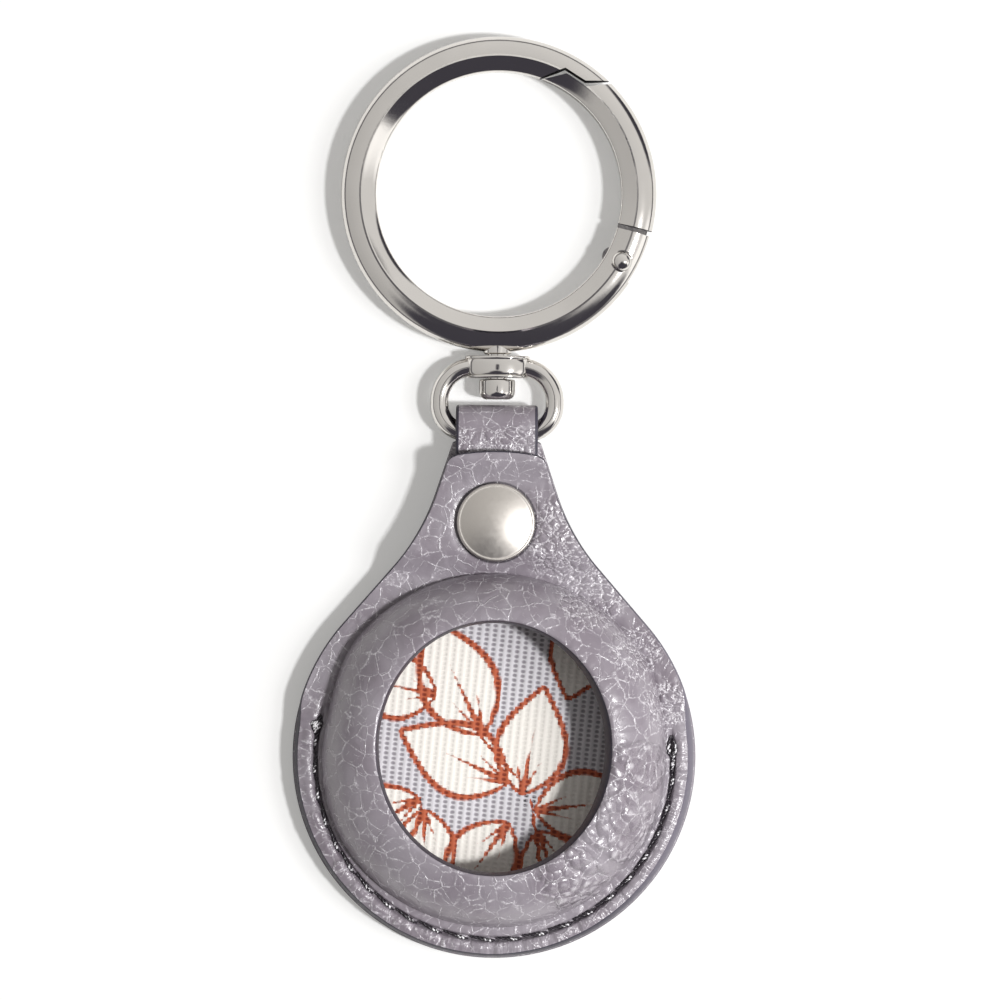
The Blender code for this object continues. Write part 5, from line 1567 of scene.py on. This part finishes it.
def studio_floor():
    """Matt seamless paper, which shows white to the camera and keeps its shadows."""
    settings = bpy.context.scene.keychain_stage
    material, put, coords = new_material("matt_studio_paper")
    tooth = put("TexNoise", {"Vector": coords, "Scale": 1 / (0.4 * MM), "Detail": 3.0})
    paper = put("Mix", {0: tooth, 6: rgba(settings.floor, 0.985), 7: rgba(settings.floor)}, 2, **MIX)
    seen = put("LightPath", output="Is Camera Ray")
    colour = put("Mix", {0: seen, 6: paper, 7: (1, 1, 1, 1)}, 2, **MIX)
    shader = put("BsdfPrincipled", {"Base Color": colour, "Roughness": 1.0, "Specular IOR Level": 0.0})
    lift = put("Math", (seen, SHADOW_LIFT), operation="MULTIPLY")
    glow = put("Emission", {"Color": (1.0, 0.99, 0.965, 1), "Strength": 1.0})
    put("OutputMaterial", (put("MixShader", (lift, shader, glow)),))
    return material


# Middle of the scene, and the lamps round it: how far off, in which direction and how large
STAGE_MIDDLE = Vector((0, 25 * MM, 0))
LAMP_DISTANCE = 1.2
KEY_WAY, KEY_SIZE = Vector((0.526, -0.141, 0.839)), 0.11
FILL_WAY, FILL_SIZE = Vector((0.750, -0.130, 0.648)), 0.42

# Dark things round the studio, as the metal mirrors them: direction, and angles where each starts and is full
DARK_SIDES = (
    (Vector((0.04, -0.8, 0.6)), 42, 31),
    (Vector((-0.03, -0.40, 0.92)), 20, 12),
    (Vector((0.55, -0.66, 0.51)), 22, 14),
    (Vector((0.85, 0.5, 0.16)), 22, 14),
    (Vector((0, 0, 1)), 5, 3),
)
WHITE_SCREEN = (Vector((0.86, -0.36, 0.37)), 22, 10)


def studio_room():
    """Room light: soft for the object, white to the camera, and in reflections a grey room with dark sides."""
    settings = bpy.context.scene.keychain_stage
    world = bpy.data.worlds.new("soft_studio")
    bpy.context.scene.world = world
    world.use_nodes = True
    world.node_tree.nodes.clear()
    put = partial(add, world.node_tree)
    direction = put("TexCoord", output="Generated")
    parts = put("SeparateXYZ", (direction,)).node.outputs
    masks = []
    for way, start, full in (*DARK_SIDES, WHITE_SCREEN):
        dot = put("VectorMath", (direction, way.normalized()), "Value", operation="DOT_PRODUCT")
        limits = (math.cos(math.radians(start)), math.cos(math.radians(full)))
        masks.append(put("MapRange", (dot, *limits), **SMOOTH))
    screen = masks.pop()
    low_edge = put("MapRange", {0: parts[2], 1: 0.0, 2: 0.04, 4: 0.85}, **SMOOTH)
    high_edge = put("MapRange", (parts[2], 0.24, 0.15), **SMOOTH)
    dark = put("Math", (low_edge, high_edge), operation="MULTIPLY")
    for mask in masks:
        dark = put("Math", (dark, mask), operation="MAXIMUM")
    level = put("Math", (parts[0], 0.13, 0.67), operation="MULTIPLY_ADD")
    level = put("Math", (parts[1], 0.11, level), operation="MULTIPLY_ADD")
    mirrored = put("Mix", {0: level, 6: (0, 0, 0, 1), 7: (1.0, 0.98, 0.96, 1)}, 2, **MIX)
    mirrored = put("Mix", {0: screen, 6: mirrored, 7: (1.3, 1.28, 1.26, 1)}, 2, **MIX)
    mirrored = put("Mix", {0: dark, 6: mirrored, 7: (0.06, 0.056, 0.07, 1)}, 2, **MIX)
    soft = put("Math", (parts[1], 0.35 * settings.sky, settings.sky), operation="MULTIPLY_ADD")
    plain = put("Background", {"Color": (1.0, 0.985, 0.955, 1), "Strength": soft})
    glossy = put("Background", {"Color": mirrored})
    white = put("Background", {"Color": (1, 1, 1, 1)})
    paths = put("LightPath").node.outputs
    seen = put("MixShader", (paths["Is Glossy Ray"], plain, glossy))
    seen = put("MixShader", (paths["Is Camera Ray"], seen, white))
    put("OutputWorld", (seen,))


def add_lamp(name, way, size, share):
    """Soft square lamp, whose power gives its share of the light on the floor."""
    place = STAGE_MIDDLE + way * LAMP_DISTANCE
    deselect_all()
    bpy.ops.object.light_add(type="AREA", location=place)
    lamp = bpy.context.object
    lamp.name = name
    lamp.data.shape = "SQUARE"
    lamp.data.size = size
    lamp.data.energy = share * math.pi * math.pi * LAMP_DISTANCE * LAMP_DISTANCE / way.z
    lamp.rotation_euler = (STAGE_MIDDLE - place).to_track_quat("-Z", "Y").to_euler()
    return lamp


# Photo: pixels to the millimetre, its size, where the body's centre lies on it and how far it leans
PHOTO_SCALE = 10.0 / MM
PHOTO_SIZE = 1000
BODY_PIXEL = (494, 757)
LEAN = math.radians(0.5)


class KEYCHAIN_OT_stage(bpy.types.Operator):
    """Pale floor, soft lamps and the camera straight above"""

    bl_idname = "keychain.stage"
    bl_label = "Stage"

    def execute(self, context):
        settings = context.scene.keychain_stage
        deselect_all()
        bpy.ops.mesh.primitive_plane_add(size=4.0, location=(0, 0, 0))
        floor = context.object
        floor.name = "floor"
        bpy.ops.object.mode_set(mode="EDIT")
        bpy.ops.mesh.subdivide(number_cuts=3)
        bpy.ops.object.mode_set(mode="OBJECT")
        floor.data.materials.append(studio_floor())
        add_lamp("key_lamp", KEY_WAY, KEY_SIZE, settings.key)
        fill = add_lamp("fill_lamp", FILL_WAY, FILL_SIZE, settings.fill)
        fill.visible_glossy = False
        studio_room()
        deselect_all()
        bpy.ops.object.camera_add()
        camera = context.object
        camera.data.lens = settings.lens
        camera.data.sensor_width = 36.0
        field = PHOTO_SIZE / PHOTO_SCALE
        away = field * settings.lens / camera.data.sensor_width
        across = (PHOTO_SIZE / 2 - BODY_PIXEL[0]) / PHOTO_SCALE
        up = (BODY_PIXEL[1] - PHOTO_SIZE / 2) / PHOTO_SCALE
        turn = Matrix.Rotation(LEAN, 4, "Z")
        centre = turn @ Vector((across, up, 0))
        camera.matrix_world = Matrix.Translation((centre.x, centre.y, away + 2 * MM)) @ turn
        camera.data.clip_start, camera.data.clip_end = 0.01, 10.0
        context.scene.camera = camera
        context.scene.view_settings.view_transform = "Standard"
        return {"FINISHED"}


class KEYCHAIN_PT_panel(bpy.types.Panel):
    """Steps of the build, in order"""

    bl_idname = "KEYCHAIN_PT_panel"
    bl_label = "Tracker Keychain"
    bl_space_type = "VIEW_3D"
    bl_region_type = "UI"
    bl_category = "Keychain"

    def draw(self, context):
        for operator in OPERATORS:
            self.layout.operator(operator.bl_idname)


SETTINGS = {
    "keychain_leather": LeatherSettings,
    "keychain_lining": LiningSettings,
    "keychain_thread": ThreadSettings,
    "keychain_metal": MetalSettings,
    "keychain_stage": StageSettings,
}
OPERATORS = (
    KEYCHAIN_OT_stage,
    KEYCHAIN_OT_back_leather,
    KEYCHAIN_OT_lining,
    KEYCHAIN_OT_front_leather,
    KEYCHAIN_OT_seam,
    KEYCHAIN_OT_snap,
    KEYCHAIN_OT_loop,
    KEYCHAIN_OT_swivel_post,
    KEYCHAIN_OT_key_ring,
    KEYCHAIN_OT_gate,
    KEYCHAIN_OT_hinge_pin,
    KEYCHAIN_OT_gate_spring,
)


def register():
    """Register the settings, the operators and the panel."""
    for name, group in SETTINGS.items():
        bpy.utils.register_class(group)
        setattr(bpy.types.Scene, name, PointerProperty(type=group))
    for operator in OPERATORS:
        bpy.utils.register_class(operator)
    bpy.utils.register_class(KEYCHAIN_PT_panel)


def unregister():
    """Take the panel, the operators and the settings away again."""
    bpy.utils.unregister_class(KEYCHAIN_PT_panel)
    for operator in reversed(OPERATORS):
        bpy.utils.unregister_class(operator)
    for name, group in SETTINGS.items():
        delattr(bpy.types.Scene, name)
        bpy.utils.unregister_class(group)


def main():
    """Build every piece on the frame."""
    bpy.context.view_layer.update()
    register()
    for operator in OPERATORS:
        group, step = operator.bl_idname.split(".")
        getattr(getattr(bpy.ops, group), step)()


if __name__ == "__main__":
    main()
